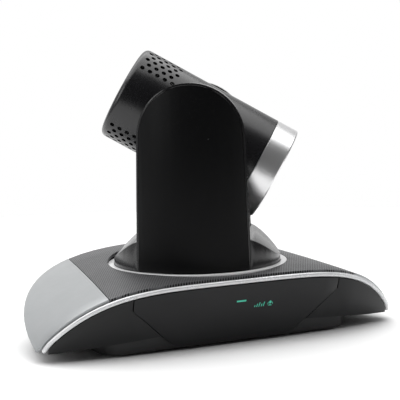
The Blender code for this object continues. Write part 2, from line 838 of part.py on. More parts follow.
def belt(name, radius_a, radius_b, distance):
    outer = belt_outline(radius_a, radius_b, distance, GAP + BELT_THICKNESS)
    inner = belt_outline(radius_a, radius_b, distance, GAP)
    return slab(name, [outer, inner], BELT_WIDTH / 2)


def pulley(name, radius, bore, sides):
    """A flanged pulley about Z, with the belt's track at height 0."""
    flange = 0.8 * MM
    lip = radius + BELT_THICKNESS
    half = BELT_WIDTH / 2 + GAP
    profile = [
        (lip, half + flange),
        (lip, half),
        (radius, half),
        (radius, -half),
        (lip, -half),
        (lip, -half - flange),
        (bore, -half - flange),
        (bore, half + flange),
    ]
    return turned(name, profile, sides)


def pan_belt_z():
    return CHASSIS_Z + SHEET + GAP + 0.8 * MM + GAP + BELT_WIDTH / 2 + GAP


def pan_drive(pan_axis):
    bottom = CHASSIS_Z - BEARING_HEIGHT + SHEET
    bearing = ring_profile(PAN_BEARING_RADIUS, PAN_SHAFT_RADIUS + GAP, bottom, bottom + BEARING_HEIGHT)
    place(turned("pan_bearing", bearing, 32), steel())
    shaft_low = bottom - 3 * MM
    shaft = ring_profile(PAN_SHAFT_RADIUS, PAN_SHAFT_BORE, shaft_low, YOKE_BOTTOM_Z - GAP)
    place(turned("pan_shaft", shaft, 32), steel(), pan_axis)
    wheel = pulley("pan_pulley", PAN_PULLEY_RADIUS, PAN_SHAFT_RADIUS + GAP, 32)
    place(wheel, matte_black(), pan_axis, (0, 0, pan_belt_z()))
    body_top = CHASSIS_Z - GAP
    reach = pan_belt_z() + BELT_WIDTH / 2
    profile = [
        (0, reach),
        (MOTOR_SHAFT_RADIUS, reach),
        (MOTOR_SHAFT_RADIUS, body_top),
        (PAN_MOTOR_RADIUS, body_top),
        (PAN_MOTOR_RADIUS, body_top - PAN_MOTOR_HEIGHT),
        (0, body_top - PAN_MOTOR_HEIGHT),
    ]
    place(turned("pan_motor", profile, 24), steel(), location=(PAN_MOTOR_X, PAN_MOTOR_Y, 0))
    small = pulley("pan_motor_pulley", MOTOR_PULLEY_RADIUS, MOTOR_SHAFT_RADIUS + GAP, 16)
    place(small, brass(), location=(PAN_MOTOR_X, PAN_MOTOR_Y, pan_belt_z()))
    distance = math.hypot(PAN_MOTOR_X, PAN_MOTOR_Y)
    loop = belt("pan_belt", PAN_PULLEY_RADIUS, MOTOR_PULLEY_RADIUS, distance)
    turn = math.atan2(PAN_MOTOR_Y, PAN_MOTOR_X)
    place(loop, rubber(), location=(0, 0, pan_belt_z()), rotation=(0, 0, turn))


# ---------------------------------------------------------------- yoke


def arm_half_width(z):
    return ARM_TOP_RADIUS + max(0.0, PIVOT_Z - z) * math.tan(ARM_TAPER)


def arm_outline(inset, bottom):
    """A tapered arm with a round top, in (across, up), without the swept foot."""
    half = arm_half_width(bottom) - inset
    round_top = arc((0, PIVOT_Z), ARM_TOP_RADIUS - inset, 0, 180, 24)
    return [(half, bottom)] + round_top + [(-half, bottom)]


def yoke_outline(inset=0.0):
    """The yoke from the side: the turntable's low rim sweeps up into the arm."""
    reach = YOKE_RADIUS + 4 * MM
    bottom = YOKE_BOTTOM_Z - 1 * MM
    foot = arm_half_width(SWEEP_TOP_Z)
    sweep = []
    for i in range(7):
        t = i / 6
        x = YOKE_RADIUS + (foot - YOKE_RADIUS) * t
        z = SWEEP_TOP_Z - (SWEEP_TOP_Z - SWEEP_END_Z) * (1 - t) ** SWEEP_POWER
        sweep.append((x - inset, z - inset))
    round_top = arc((0, PIVOT_Z), ARM_TOP_RADIUS - inset, 0, 180, 28)
    right = [(reach, bottom), (reach, SWEEP_END_Z - inset)] + sweep
    left = [(-x, z) for x, z in reversed(right)]
    return right + round_top + left


def side_slab(name, outline, half_depth, middle=0.0):
    """An outline in (across, up), thickened along the yoke's X axis."""
    piece = slab(name, [outline], half_depth)
    turn = Matrix.Rotation(math.radians(90), 4, "Z") @ Matrix.Rotation(math.radians(90), 4, "X")
    piece.data.transform(Matrix.Translation((middle, 0, 0)) @ turn)
    return piece


def yoke(pan_axis):
    """Turntable and both arms in one casting, hollow behind the arm covers."""
    top = PIVOT_Z + ARM_TOP_RADIUS + 5 * MM
    body = cylinder("yoke", YOKE_RADIUS, YOKE_BOTTOM_Z, top, 64)
    profile = side_slab("yoke_profile", yoke_outline(), YOKE_RADIUS + 10 * MM)
    cut(body, place_cutter(profile, pan_axis), "INTERSECT")
    reach = YOKE_RADIUS + 4 * MM
    channel = box("channel", (-CHANNEL_HALF, -reach, VALLEY_RIM_Z), (CHANNEL_HALF, reach, top + 5 * MM))
    cut(body, place_cutter(channel, pan_axis))
    valley = cylinder("valley", VALLEY_RADIUS, -CHANNEL_HALF, CHANNEL_HALF, 120)
    cut(body, place_cutter(valley, pan_axis, (0, 0, PIVOT_Z), (0, math.radians(90), 0)))
    floor = YOKE_BOTTOM_Z + YOKE_FLOOR
    drum = cylinder("yoke_drum_hollow", YOKE_RADIUS - DRUM_WALL, floor, DRUM_TOP_Z, 48)
    cut(body, place_cutter(drum, pan_axis))
    core = cylinder("yoke_core_hollow", CHANNEL_HALF, floor, PIVOT_Z - VALLEY_RADIUS - YOKE_FLOOR, 48)
    cut(body, place_cutter(core, pan_axis))
    cable_hole = cylinder("yoke_cable_hole", PAN_SHAFT_BORE, YOKE_BOTTOM_Z - 5 * MM, YOKE_BOTTOM_Z + 5 * MM, 24)
    cut(body, place_cutter(cable_hole, pan_axis))
    hollow_depth = 15 * MM
    for side, sign in (("left", -1), ("right", 1)):
        near = CHANNEL_HALF + ARM_INNER_WALL
        hollow = side_slab(
            f"arm_hollow_{side}",
            arm_outline(ARM_RIM, ARM_HOLLOW_Z),
            hollow_depth,
            sign * (near + hollow_depth),
        )
        cut(body, place_cutter(hollow, pan_axis))
        pocket = side_slab(
            f"arm_cover_pocket_{side}",
            arm_outline(ARM_COVER_INSET - GAP, ARM_COVER_BOTTOM_Z - GAP),
            hollow_depth,
            sign * (near + hollow_depth),
        )
        core = cylinder(
            f"arm_pocket_core_{side}",
            ARM_COVER_RADIUS - ARM_COVER_THICKNESS - GAP,
            0,
            top,
            64,
        )
        cut(pocket, place_cutter(core, pan_axis))
        cut(body, place_cutter(pocket, pan_axis))
        seat = cylinder(f"tilt_bearing_seat_{side}", TILT_BEARING_RADIUS + GAP, -10 * MM, 10 * MM, 24)
        place_cutter(seat, pan_axis, (sign * near, 0, PIVOT_Z), (0, math.radians(90), 0))
        cut(body, seat)
    return place(body, satin_black(), pan_axis)


def arm_covers(pan_axis):
    """Matte outer panels that follow the turntable's radius and close the arms."""
    top = PIVOT_Z + ARM_TOP_RADIUS + 5 * MM
    for side, sign in (("left", -1), ("right", 1)):
        cover = side_slab(
            f"arm_cover_{side}",
            arm_outline(ARM_COVER_INSET, ARM_COVER_BOTTOM_Z),
            20 * MM,
            sign * 50 * MM,
        )
        outer = cylinder(f"arm_cover_outer_{side}", ARM_COVER_RADIUS, 0, top, 64)
        cut(cover, place_cutter(outer, pan_axis), "INTERSECT")
        inner = cylinder(f"arm_cover_inner_{side}", ARM_COVER_RADIUS - ARM_COVER_THICKNESS, -top, 2 * top, 64)
        cut(cover, place_cutter(inner, pan_axis))
        place(cover, matte_black(), pan_axis)


def tilt_drive(pan_axis, tilt_axis):
    """Bearings and stub shafts in both arms; motor, belt and pulleys in the right arm."""
    quarter = math.radians(90)
    wall_outer = CHANNEL_HALF + ARM_INNER_WALL
    head_side = HEAD_RADIUS - HEAD_WALL
    for side, sign in (("left", -1), ("right", 1)):
        ring = ring_profile(TILT_BEARING_RADIUS, TILT_SHAFT_RADIUS + GAP, CHANNEL_HALF + GAP, wall_outer)
        bearing = turned(f"tilt_bearing_{side}", ring, 24)
        place(bearing, steel(), pan_axis, (0, 0, PIVOT_Z), (0, sign * quarter, 0))
        reach = wall_outer + 1 * MM
        if sign > 0:
            reach = TILT_BELT_X + BELT_WIDTH / 2
        collar = TILT_SHAFT_RADIUS + 1.6 * MM
        profile = [
            (0, reach),
            (TILT_SHAFT_RADIUS, reach),
            (TILT_SHAFT_RADIUS, HEAD_RADIUS + 0.6 * MM),
            (collar, HEAD_RADIUS + 0.6 * MM),
            (collar, head_side - 3 * MM),
            (0, head_side - 3 * MM),
        ]
        stub = turned(f"tilt_shaft_{side}", profile, 24)
        place(stub, steel(), tilt_axis, (0, 0, 0), (0, sign * quarter, 0))
    wheel = pulley("tilt_pulley", TILT_PULLEY_RADIUS, TILT_SHAFT_RADIUS + GAP, 24)
    place(wheel, matte_black(), tilt_axis, (TILT_BELT_X, 0, 0), (0, quarter, 0))
    drop = PIVOT_Z - TILT_MOTOR_Z
    loop = belt("tilt_belt", TILT_PULLEY_RADIUS, MOTOR_PULLEY_RADIUS, drop)
    place(loop, rubber(), pan_axis, (TILT_BELT_X, 0, PIVOT_Z), (0, quarter, 0))
    near = wall_outer + GAP
    profile = [
        (0, TILT_BELT_X + BELT_WIDTH / 2),
        (MOTOR_SHAFT_RADIUS, TILT_BELT_X + BELT_WIDTH / 2),
        (MOTOR_SHAFT_RADIUS, near + TILT_MOTOR_HEIGHT - 2 * MM),
        (TILT_MOTOR_RADIUS, near + TILT_MOTOR_HEIGHT - 2 * MM),
        (TILT_MOTOR_RADIUS, near),
        (0, near),
    ]
    motor = turned("tilt_motor", profile, 24)
    place(motor, steel(), pan_axis, (0, 0, TILT_MOTOR_Z), (0, quarter, 0))
    small = pulley("tilt_motor_pulley", MOTOR_PULLEY_RADIUS, MOTOR_SHAFT_RADIUS + GAP, 16)
    place(small, brass(), pan_axis, (TILT_BELT_X, 0, TILT_MOTOR_Z), (0, quarter, 0))


# ---------------------------------------------------------------- head


def place_in_head(obj, material, tilt_axis):
    """Puts a piece turned about Z on the head's axis, with +Z towards the lens."""
    return place(obj, material, tilt_axis, (0, 0, HEAD_RISE), (math.radians(90), 0, 0))


def head_shell(tilt_axis):
    """Barrel with a rounded rear end and two fields of vent holes."""
    front = HEAD_FRONT - FRONT_RING_LENGTH - GAP
    inner = HEAD_RADIUS - HEAD_WALL
    fillet = HEAD_REAR_FILLET
    corner = arc((HEAD_RADIUS - fillet, HEAD_REAR + fillet), fillet, 0, -90, 5)
    inner_corner = arc((HEAD_RADIUS - fillet, HEAD_REAR + fillet), fillet - HEAD_WALL, -90, 0, 4)
    profile = [(0, HEAD_REAR + HEAD_WALL), *inner_corner, (inner, front), (HEAD_RADIUS, front), *corner]
    profile.append((0, HEAD_REAR))
    shell = turned("head_shell", profile, 60)
    shell = to_mesh(shell)
    shade_round(shell)
    quarter = math.radians(90)
    for side in (-1, 1):
        hole = cylinder(f"shaft_hole_{side}", TILT_SHAFT_RADIUS + 1.6 * MM + GAP, -10 * MM, 10 * MM, 24)
        place_cutter(hole, tilt_axis, (side * HEAD_RADIUS, 0, 0), (0, quarter, 0))
        cut(shell, hole)
    cut(shell, place_cutter(vent_cutter(), tilt_axis, (0, 0, HEAD_RISE), (quarter, 0, 0)))
    return place_in_head(shell, satin_black(), tilt_axis)


def vent_cutter():
    """One cutter for both fields of staggered holes, above and below the barrel."""
    bm = bmesh.new()
    for field in (0, 1):
        for row in range(VENT_ROWS):
            angle = field * math.pi + (row - (VENT_ROWS - 1) / 2) * VENT_ROW_ANGLE
            shifted = row % 2
            for column in range(VENT_HOLES_PER_ROW - shifted):
                along = HEAD_REAR + VENT_FIRST + VENT_PITCH * (column + 0.5 * shifted)
                tilt = Matrix.Rotation(math.pi / 2, 4, "X")
                move = Matrix.Translation((0, HEAD_RADIUS, along))
                around = Matrix.Rotation(angle, 4, "Z")
                bmesh.ops.create_cone(
                    bm,
                    cap_ends=True,
                    segments=6,
                    radius1=VENT_RADIUS,
                    radius2=VENT_RADIUS,
                    depth=4 * HEAD_WALL,
                    matrix=around @ move @ tilt,
                )
    return mesh_object("vent_holes", bm)


def front_ring(tilt_axis):
    inner = HEAD_RADIUS - FRONT_RING_WALL
    back = HEAD_FRONT - FRONT_RING_LENGTH
    edge = 0.8 * MM
    profile = [
        (HEAD_RADIUS - edge, HEAD_FRONT),
        (HEAD_RADIUS, HEAD_FRONT - edge),
        (HEAD_RADIUS, back),
        (inner, back),
        (inner, HEAD_FRONT),
    ]
    return place_in_head(turned("front_ring", profile, 48), bright_silver(), tilt_axis)


def lens_pieces(tilt_axis):
    ring_inner = HEAD_RADIUS - FRONT_RING_WALL
    face = HEAD_FRONT - BEZEL_DEPTH
    bezel = [
        (ring_inner - GAP, face),
        (ring_inner - GAP, face - 6 * MM),
        (ring_inner - GAP - BEZEL_FLANGE, face - 6 * MM),
        (ring_inner - GAP - BEZEL_FLANGE, face - BEZEL_FLANGE),
        (BEZEL_HOLE, face - 4 * MM),
        (BEZEL_HOLE, face - 2.4 * MM),
    ]
    place_in_head(turned("lens_bezel", bezel, 36), matte_black(), tilt_axis)
    barrel_front = face - 4 * MM
    bore = BARREL_RADIUS - BARREL_WALL
    barrel = ring_profile(BARREL_RADIUS, bore, BARREL_REAR, barrel_front)
    place_in_head(turned("lens_barrel", barrel, 36), satin_black(), tilt_axis)
    rim = barrel_front - 3 * MM
    dome = LENS_THICKNESS * 0.5
    lens = [(0, rim)]
    for i in range(1, 7):
        radius = LENS_RADIUS * i / 6
        lens.append((radius, rim - dome * (i / 6) ** 2))
    lens += [(LENS_RADIUS, rim - LENS_THICKNESS + 1 * MM), (0, rim - LENS_THICKNESS)]
    place_in_head(turned("front_lens", lens, 28), lens_glass(), tilt_axis)


def camera_block(tilt_axis):
    """Zoom module: housing, guide rods, two sliding lens groups and the image sensor."""
    front = BARREL_REAR - GAP
    block = box("camera_block", (-BLOCK_HALF, -BLOCK_HALF, BLOCK_REAR), (BLOCK_HALF, BLOCK_HALF, front))
    bore = cylinder("block_bore", BLOCK_BORE, BLOCK_REAR - 5 * MM, front + 5 * MM, 40)
    cut(block, place_cutter(bore, tilt_axis, (0, 0, HEAD_RISE), (math.radians(90), 0, 0)))
    place_in_head(block, dark_grey(), tilt_axis)
    for name, middle in (("zoom_group", ZOOM_REST), ("focus_group", FOCUS_REST)):
        half = GROUP_LENGTH / 2
        bulge = 1.4 * MM
        profile = [(0, half + bulge)]
        glass = GROUP_RADIUS - 5 * MM
        for i in range(1, 5):
            profile.append((glass * i / 4, half + bulge * (1 - (i / 4) ** 2)))
        profile += [(GROUP_RADIUS, half), (GROUP_RADIUS, -half), (0, -half)]
        group = to_mesh(turned(name, profile, 24))
        for i, x in enumerate((-ROD_OFFSET, ROD_OFFSET)):
            hole = cylinder(f"{name}_rod_hole_{i + 1}", ROD_RADIUS + GAP, -10 * MM, 10 * MM, 12)
            place_cutter(hole, tilt_axis, (x, -middle, HEAD_RISE), (math.radians(90), 0, 0))
            cut(group, hole)
        place(group, lens_glass(), tilt_axis, (0, -middle, HEAD_RISE), (math.radians(90), 0, 0))
    for i, x in enumerate((-ROD_OFFSET, ROD_OFFSET)):
        rod = cylinder(f"guide_rod_{i + 1}", ROD_RADIUS, BLOCK_REAR + 1 * MM, front - 1 * MM, 12)
        place(rod, steel(), tilt_axis, (x, 0, HEAD_RISE), (math.radians(90), 0, 0))
    chip_front = BLOCK_REAR - GAP
    chip = box("image_sensor", (-7 * MM, -6 * MM, chip_front - 1.5 * MM), (7 * MM, 6 * MM, chip_front))
    place_in_head(chip, gloss_black(), tilt_axis)
    face = chip_front - 1.5 * MM - GAP
    half = SENSOR_BOARD_HALF
    board = box("sensor_board", (-half, -half, face - BOARD_THICKNESS), (half, half, face))
    place_in_head(board, circuit_board(), tilt_axis)


def axis_empty(name, parent, location, rotation):
    empty = bpy.data.objects.new(name, None)
    bpy.data.collections["ptz_camera"].objects.link(empty)
    empty.parent = parent
    empty.location = location
    empty.rotation_euler = rotation
    return empty


start_scene()
pan_axis = axis_empty("pan_axis", None, (0, 0, 0), (0, 0, PAN_REST))
tilt_axis = axis_empty("tilt_axis", pan_axis, (0, 0, PIVOT_Z), (TILT_REST, 0, 0))

tray()
feet()
tray_screws()
tripod_insert()
hull()
front_panel()
front_trim()
wing_cover("wing_cover_left", -1)
wing_cover("wing_cover_right", 1)
mesh_cover()
rear_panel()
sockets()
boards()
microphones()
chassis()
pan_ring()
pan_drive(pan_axis)
yoke(pan_axis)
arm_covers(pan_axis)
tilt_drive(pan_axis, tilt_axis)
head_shell(tilt_axis)
front_ring(tilt_axis)
lens_pieces(tilt_axis)
camera_block(tilt_axis)
bpy.context.view_layer.update()
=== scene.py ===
import json
import math

import bmesh
import bpy
from mathutils import Matrix, Vector
from mathutils.bvhtree import BVHTree

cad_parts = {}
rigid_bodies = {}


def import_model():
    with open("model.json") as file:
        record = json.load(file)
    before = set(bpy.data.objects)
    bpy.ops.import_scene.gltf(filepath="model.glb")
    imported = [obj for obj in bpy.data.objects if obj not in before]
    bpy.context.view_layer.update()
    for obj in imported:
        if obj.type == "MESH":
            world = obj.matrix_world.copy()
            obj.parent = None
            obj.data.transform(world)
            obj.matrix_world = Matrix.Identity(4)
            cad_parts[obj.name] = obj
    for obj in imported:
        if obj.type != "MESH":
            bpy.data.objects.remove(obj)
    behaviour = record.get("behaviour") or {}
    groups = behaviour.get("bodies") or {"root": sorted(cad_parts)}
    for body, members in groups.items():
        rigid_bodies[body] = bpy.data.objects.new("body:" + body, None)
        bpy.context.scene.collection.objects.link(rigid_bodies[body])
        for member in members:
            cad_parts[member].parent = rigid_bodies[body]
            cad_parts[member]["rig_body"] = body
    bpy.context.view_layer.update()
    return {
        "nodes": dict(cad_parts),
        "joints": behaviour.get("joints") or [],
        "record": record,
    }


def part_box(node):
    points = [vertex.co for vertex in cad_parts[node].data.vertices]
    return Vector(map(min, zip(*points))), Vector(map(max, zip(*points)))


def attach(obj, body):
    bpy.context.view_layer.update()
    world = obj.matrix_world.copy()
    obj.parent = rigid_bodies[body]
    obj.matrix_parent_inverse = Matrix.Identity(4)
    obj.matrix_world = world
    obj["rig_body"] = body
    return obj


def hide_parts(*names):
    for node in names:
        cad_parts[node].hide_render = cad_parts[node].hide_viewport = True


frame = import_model()

# ---------------------------------------------------------------- camera
# It stands a little to the left of the base's front, about as high as the head, and looks slightly
# down at the pan axis.

MM = 0.001
view_azimuth = math.radians(24.68)
view_elevation = math.radians(6.14)
view_roll = math.radians(-1.48)
view_distance = 850.2 * MM
aim_height = 93.6 * MM
aim_right = 3.05 * MM
focal_length = 106.58
view_back = Vector(
    (
        -math.sin(view_azimuth) * math.cos(view_elevation),
        -math.cos(view_azimuth) * math.cos(view_elevation),
        math.sin(view_elevation),
    )
)
level_right = Vector((math.cos(view_azimuth), -math.sin(view_azimuth), 0))
level_up = view_back.cross(level_right)
view_right = level_right * math.cos(view_roll) + level_up * math.sin(view_roll)
view_up = view_back.cross(view_right)
camera_data = bpy.data.cameras.new("camera")
camera_data.lens = focal_length
camera_data.sensor_width = 36
camera = bpy.data.objects.new("camera", camera_data)
bpy.context.scene.collection.objects.link(camera)
turned_view = Matrix((view_right, view_up, view_back)).transposed().to_4x4()
stand = Vector((0, 0, aim_height)) + level_right * aim_right + view_back * view_distance
camera.matrix_world = Matrix.Translation(stand) @ turned_view
bpy.context.scene.camera = camera

# ---------------------------------------------------------------- bottom tray, feet and screws
# A black ABS tray closes the base from below. Four rubber feet are glued in its seats, four
# pan-head screws and a brass tripod insert are sunk in it. This section also makes what every
# moulded or painted piece shares: its grain, its handling marks and its softened edges.


def new_group(name, inputs, outputs):
    """An empty shader node group with float inputs and outputs; gives its tree and its two ends."""
    tree = bpy.data.node_groups.new(name, "ShaderNodeTree")
    for title, value in inputs:
        socket = tree.interface.new_socket(title, in_out="INPUT", socket_type="NodeSocketFloat")
        socket.default_value = value
    for title in outputs:
        tree.interface.new_socket(title, in_out="OUTPUT", socket_type="NodeSocketFloat")
    return tree, tree.nodes.new("NodeGroupInput"), tree.nodes.new("NodeGroupOutput")


def math_node(tree, operation, first, second=None, third=None):
    node = tree.nodes.new("ShaderNodeMath")
    node.operation = operation
    for socket, value in zip(node.inputs, (first, second, third)):
        if value is None:
            continue
        if isinstance(value, (int, float)):
            socket.default_value = value
        else:
            tree.links.new(value, socket)
    return node.outputs[0]


def noise_node(tree, vector, scale, detail, roughness=0.5):
    node = tree.nodes.new("ShaderNodeTexNoise")
    tree.links.new(vector, node.inputs["Vector"])
    if isinstance(scale, (int, float)):
        node.inputs["Scale"].default_value = scale
    else:
        tree.links.new(scale, node.inputs["Scale"])
    node.inputs["Detail"].default_value = detail
    node.inputs["Roughness"].default_value = roughness
    return node.outputs["Fac"]


moulded_grain, ends_in, ends_out = new_group(
    "moulded_grain", (("Scale", 2600.0), ("Mottle Scale", 38.0)), ("Height", "Tone")
)
place = moulded_grain.nodes.new("ShaderNodeTexCoord").outputs["Object"]
fine = noise_node(moulded_grain, place, ends_in.outputs["Scale"], 3.0, 0.6)
mottle = noise_node(moulded_grain, place, ends_in.outputs["Mottle Scale"], 5.0, 0.62)
speckle = math_node(moulded_grain, "MULTIPLY", fine, 0.35)
tone = math_node(moulded_grain, "MULTIPLY_ADD", mottle, 0.65, speckle)
moulded_grain.links.new(fine, ends_out.inputs["Height"])
moulded_grain.links.new(tone, ends_out.inputs["Tone"])

handling_marks, ends_in, ends_out = new_group(
    "handling_marks", (("Roughness", 0.4), ("Amount", 0.08)), ("Roughness", "Dust")
)
place = handling_marks.nodes.new("ShaderNodeTexCoord").outputs["Object"]
smudge = noise_node(handling_marks, place, 22.0, 4.0, 0.55)
streak_map = handling_marks.nodes.new("ShaderNodeMapping")
streak_map.inputs["Scale"].default_value = (900, 140, 900)
streak_map.inputs["Rotation"].default_value = (0.2, 0.1, 0.7)
handling_marks.links.new(place, streak_map.inputs["Vector"])
streak = noise_node(handling_marks, streak_map.outputs["Vector"], 1.0, 2.0, 0.7)
wiped = math_node(handling_marks, "MULTIPLY_ADD", streak, 0.35, smudge)
centred = math_node(handling_marks, "SUBTRACT", wiped, 0.67)
uneven = math_node(handling_marks, "MULTIPLY", centred, ends_in.outputs["Amount"])
worn = math_node(handling_marks, "MULTIPLY_ADD", uneven, 2.2, ends_in.outputs["Roughness"])
facing = handling_marks.nodes.new("ShaderNodeNewGeometry").outputs["Normal"]
facing_parts = handling_marks.nodes.new("ShaderNodeSeparateXYZ")
handling_marks.links.new(facing, facing_parts.inputs[0])
upward = math_node(handling_marks, "MAXIMUM", facing_parts.outputs["Z"], 0.0)
grit = noise_node(handling_marks, place, 1500.0, 1.0, 0.5)
grains = math_node(handling_marks, "GREATER_THAN", grit, 0.66)
dust = math_node(handling_marks, "MULTIPLY", upward, grains)
handling_marks.links.new(worn, ends_out.inputs["Roughness"])
handling_marks.links.new(dust, ends_out.inputs["Dust"])


def add_group(tree, group, **values):
    node = tree.nodes.new("ShaderNodeGroup")
    node.node_tree = group
    for title, value in values.items():
        node.inputs[title.replace("_", " ")].default_value = value
    return node


def mix_colours(tree, factor, first, second):
    """A colour mix; each colour is a tuple or a socket."""
    node = tree.nodes.new("ShaderNodeMix")
    node.data_type = "RGBA"
    node.clamp_factor = True
    tree.links.new(factor, node.inputs[0])
    for socket, colour in ((node.inputs[6], first), (node.inputs[7], second)):
        if isinstance(colour, tuple):
            socket.default_value = (*colour, 1)
        else:
            tree.links.new(colour, socket)
    return node.outputs[2]


def bump_node(tree, height, strength, distance, normal=None):
    node = tree.nodes.new("ShaderNodeBump")
    node.inputs["Strength"].default_value = strength
    node.inputs["Distance"].default_value = distance
    tree.links.new(height, node.inputs["Height"])
    if normal is not None:
        tree.links.new(normal, node.inputs["Normal"])
    return node.outputs["Normal"]


dust_grey = (0.30, 0.30, 0.29)
grain_depth = 0.04 * MM


def finish(name, dark, light, roughness, metallic=0.0, grain=0.25, scale=2600.0, marks=0.08, dust=0.12):
    """A material with grain, slow mottling, uneven gloss and a little dust on what faces up."""
    material = bpy.data.materials.new(name)
    material.use_nodes = True
    tree = material.node_tree
    shader = tree.nodes["Principled BSDF"]
    shader.inputs["Metallic"].default_value = metallic
    texture = add_group(tree, moulded_grain, Scale=scale)
    wear = add_group(tree, handling_marks, Roughness=roughness, Amount=marks)
    colour = mix_colours(tree, texture.outputs["Tone"], dark, light)
    speck = math_node(tree, "MULTIPLY", wear.outputs["Dust"], dust)
    dusted = mix_colours(tree, speck, colour, dust_grey)
    tree.links.new(dusted, shader.inputs["Base Color"])
    tree.links.new(wear.outputs["Roughness"], shader.inputs["Roughness"])
    normal = bump_node(tree, texture.outputs["Height"], grain, grain_depth)
    tree.links.new(normal, shader.inputs["Normal"])
    return material


def shader_of(material):
    return material.node_tree.nodes["Principled BSDF"]


def soften(bm, width, angle=35.0, segments=2):
    """Rounds every edge sharper than the angle."""
    limit = math.radians(angle)
    sharp = [e for e in bm.edges if len(e.link_faces) == 2 and e.calc_face_angle(0) > limit]
    bmesh.ops.bevel(
        bm,
        geom=sharp,
        offset=width,
        affect="EDGES",
        segments=segments,
        profile=0.5,
        material=-1,
        clamp_overlap=True,
    )


def piece_from(name, bm, material, body, slot, *nodes, sharp=32.0):
    """Finishes a mesh as a piece of the camera: its shading, material and body. Its slot is not used."""
    mesh = bpy.data.meshes.new(name)
    bm.to_mesh(mesh)
    bm.free()
    mesh.shade_smooth()
    mesh.set_sharp_from_angle(angle=math.radians(sharp))
    mesh.materials.append(material)
    piece = bpy.data.objects.new(name, mesh)
    bpy.context.scene.collection.objects.link(piece)
    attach(piece, body)
    if nodes:
        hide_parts(*nodes)
    return piece


def merged_node(node):
    """The solid of a part of the frame, with its loose triangles joined up and its flats cleaned."""
    bm = bmesh.new()
    bm.from_mesh(frame["nodes"][node].data)
    bmesh.ops.remove_doubles(bm, verts=bm.verts, dist=2e-6)
    bmesh.ops.dissolve_limit(bm, angle_limit=math.radians(0.1), verts=bm.verts, edges=bm.edges)
    return bm


def slot_of_node(node):
    return next(s["material_slot"] for s in frame["record"]["subparts"] if s["node"] == node)


def refine(node, material, edge=0.0, sharp=32.0):
    """A part of the frame with its edges rounded and its curves smooth, in its real finish."""
    bm = merged_node(node)
    if edge:
        soften(bm, edge)
    body = frame["nodes"][node]["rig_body"]
    return piece_from(f"{node}_finished", bm, material, body, slot_of_node(node), node, sharp=sharp)


def dress(material, *nodes):
    """Gives inner parts of the frame their finish."""
    for node in nodes:
        mesh = frame["nodes"][node].data
        mesh.materials.clear()
        mesh.materials.append(material)


tray_black = finish("tray_black_abs", (0.011, 0.011, 0.012), (0.020, 0.020, 0.021), 0.55, grain=0.5)
foot_rubber = finish(
    "foot_rubber", (0.012, 0.012, 0.012), (0.022, 0.021, 0.021), 0.85, grain=0.8, scale=1500
)
plain_steel = finish("plain_steel", (0.42, 0.43, 0.45), (0.58, 0.58, 0.60), 0.32, metallic=1.0, grain=0.1)
insert_brass = finish("insert_brass", (0.58, 0.40, 0.16), (0.74, 0.55, 0.26), 0.3, metallic=1.0, grain=0.1)
slot_length = 3.0 * MM
slot_width = 0.6 * MM
slot_depth = 0.1 * MM
refine("base_tray", tray_black, 0.3 * MM)
refine("tripod_insert", insert_brass, 0.25 * MM)
for number in range(1, 5):
    refine(f"rubber_foot_{number}", foot_rubber, 0.2 * MM)
    screw = f"tray_screw_{number}"
    screw_low, screw_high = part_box(screw)
    screw_middle = (screw_low + screw_high) / 2
    screw_axis = Matrix.Translation((screw_middle.x, screw_middle.y, 0))
    bm = merged_node(screw)
    soften(bm, 0.15 * MM)
    piece_from(f"{screw}_finished", bm, plain_steel, "base", "steel", screw)
    # Each screw's cross slot is two thin near-black plates laid on its head: a painted shade standing in
    # for the recess, which is not cut.
    for turn in (0, 90):
        bm = bmesh.new()
        bmesh.ops.create_cube(bm, size=1)
        bmesh.ops.scale(bm, vec=(slot_length, slot_width, slot_depth), verts=bm.verts)
        quarter = Matrix.Rotation(math.radians(turn), 3, "Z")
        bmesh.ops.rotate(bm, cent=(0, 0, 0), matrix=quarter, verts=bm.verts)
        bmesh.ops.translate(bm, vec=(0, 0, screw_low.z - 0.02 * MM), verts=bm.verts)
        bmesh.ops.transform(bm, matrix=screw_axis, verts=bm.verts)
        piece_from(f"{screw}_slot_{turn}", bm, tray_black, "base", "matte_black")

# ---------------------------------------------------------------- lower body
# One ABS moulding, spray painted satin black: the raked front, the undersides of the wings and the
# rear wall. It is screwed to the tray from below.

hull_black = finish(
    "hull_satin_paint", (0.0055, 0.0057, 0.0062), (0.0085, 0.0088, 0.0094), 0.36, grain=0.18, marks=0.10
)
shader_of(hull_black).inputs["Specular IOR Level"].default_value = 0.3
refine("hull", hull_black, 0.35 * MM, sharp=28)

# ---------------------------------------------------------------- front window
# A smoked acrylic panel that lets infra-red and the indicators through. It snaps into the hull's
# recess. A straight light, five level bars and a microphone sign are lit from behind it in green.

window_acrylic = finish(
    "window_smoked_acrylic",
    (0.0070, 0.0071, 0.0080),
    (0.0095, 0.0096, 0.0106),
    0.3,
    grain=0.04,
    marks=0.05,
    dust=0.0,
)
shader_of(window_acrylic).inputs["Specular IOR Level"].default_value = 0.28
refine("front_panel", window_acrylic, 0.4 * MM, sharp=40)

sign_green = bpy.data.materials.new("sign_green_light")
sign_green.use_nodes = True
sign_tree = sign_green.node_tree
sign_tone = add_group(sign_tree, moulded_grain, Scale=1800.0)
sign_colour = mix_colours(sign_tree, sign_tone.outputs["Tone"], (0.02, 0.30, 0.20), (0.06, 0.52, 0.36))
sign_tree.links.new(sign_colour, shader_of(sign_green).inputs["Base Color"])
sign_tree.links.new(sign_colour, shader_of(sign_green).inputs["Emission Color"])
shader_of(sign_green).inputs["Emission Strength"].default_value = 0.35
shader_of(sign_green).inputs["Roughness"].default_value = 0.35

window_faces = BVHTree.FromBMesh(merged_node("front_panel"))
sign_thickness = 0.08 * MM
light_length = 7.0 * MM
light_width = 1.2 * MM
bar_heights = (1.4 * MM, 2.3 * MM, 3.2 * MM, 2.0 * MM, 3.4 * MM)
bar_pitch = 1.7 * MM
bar_width = 0.55 * MM
bar_foot = -1.6 * MM


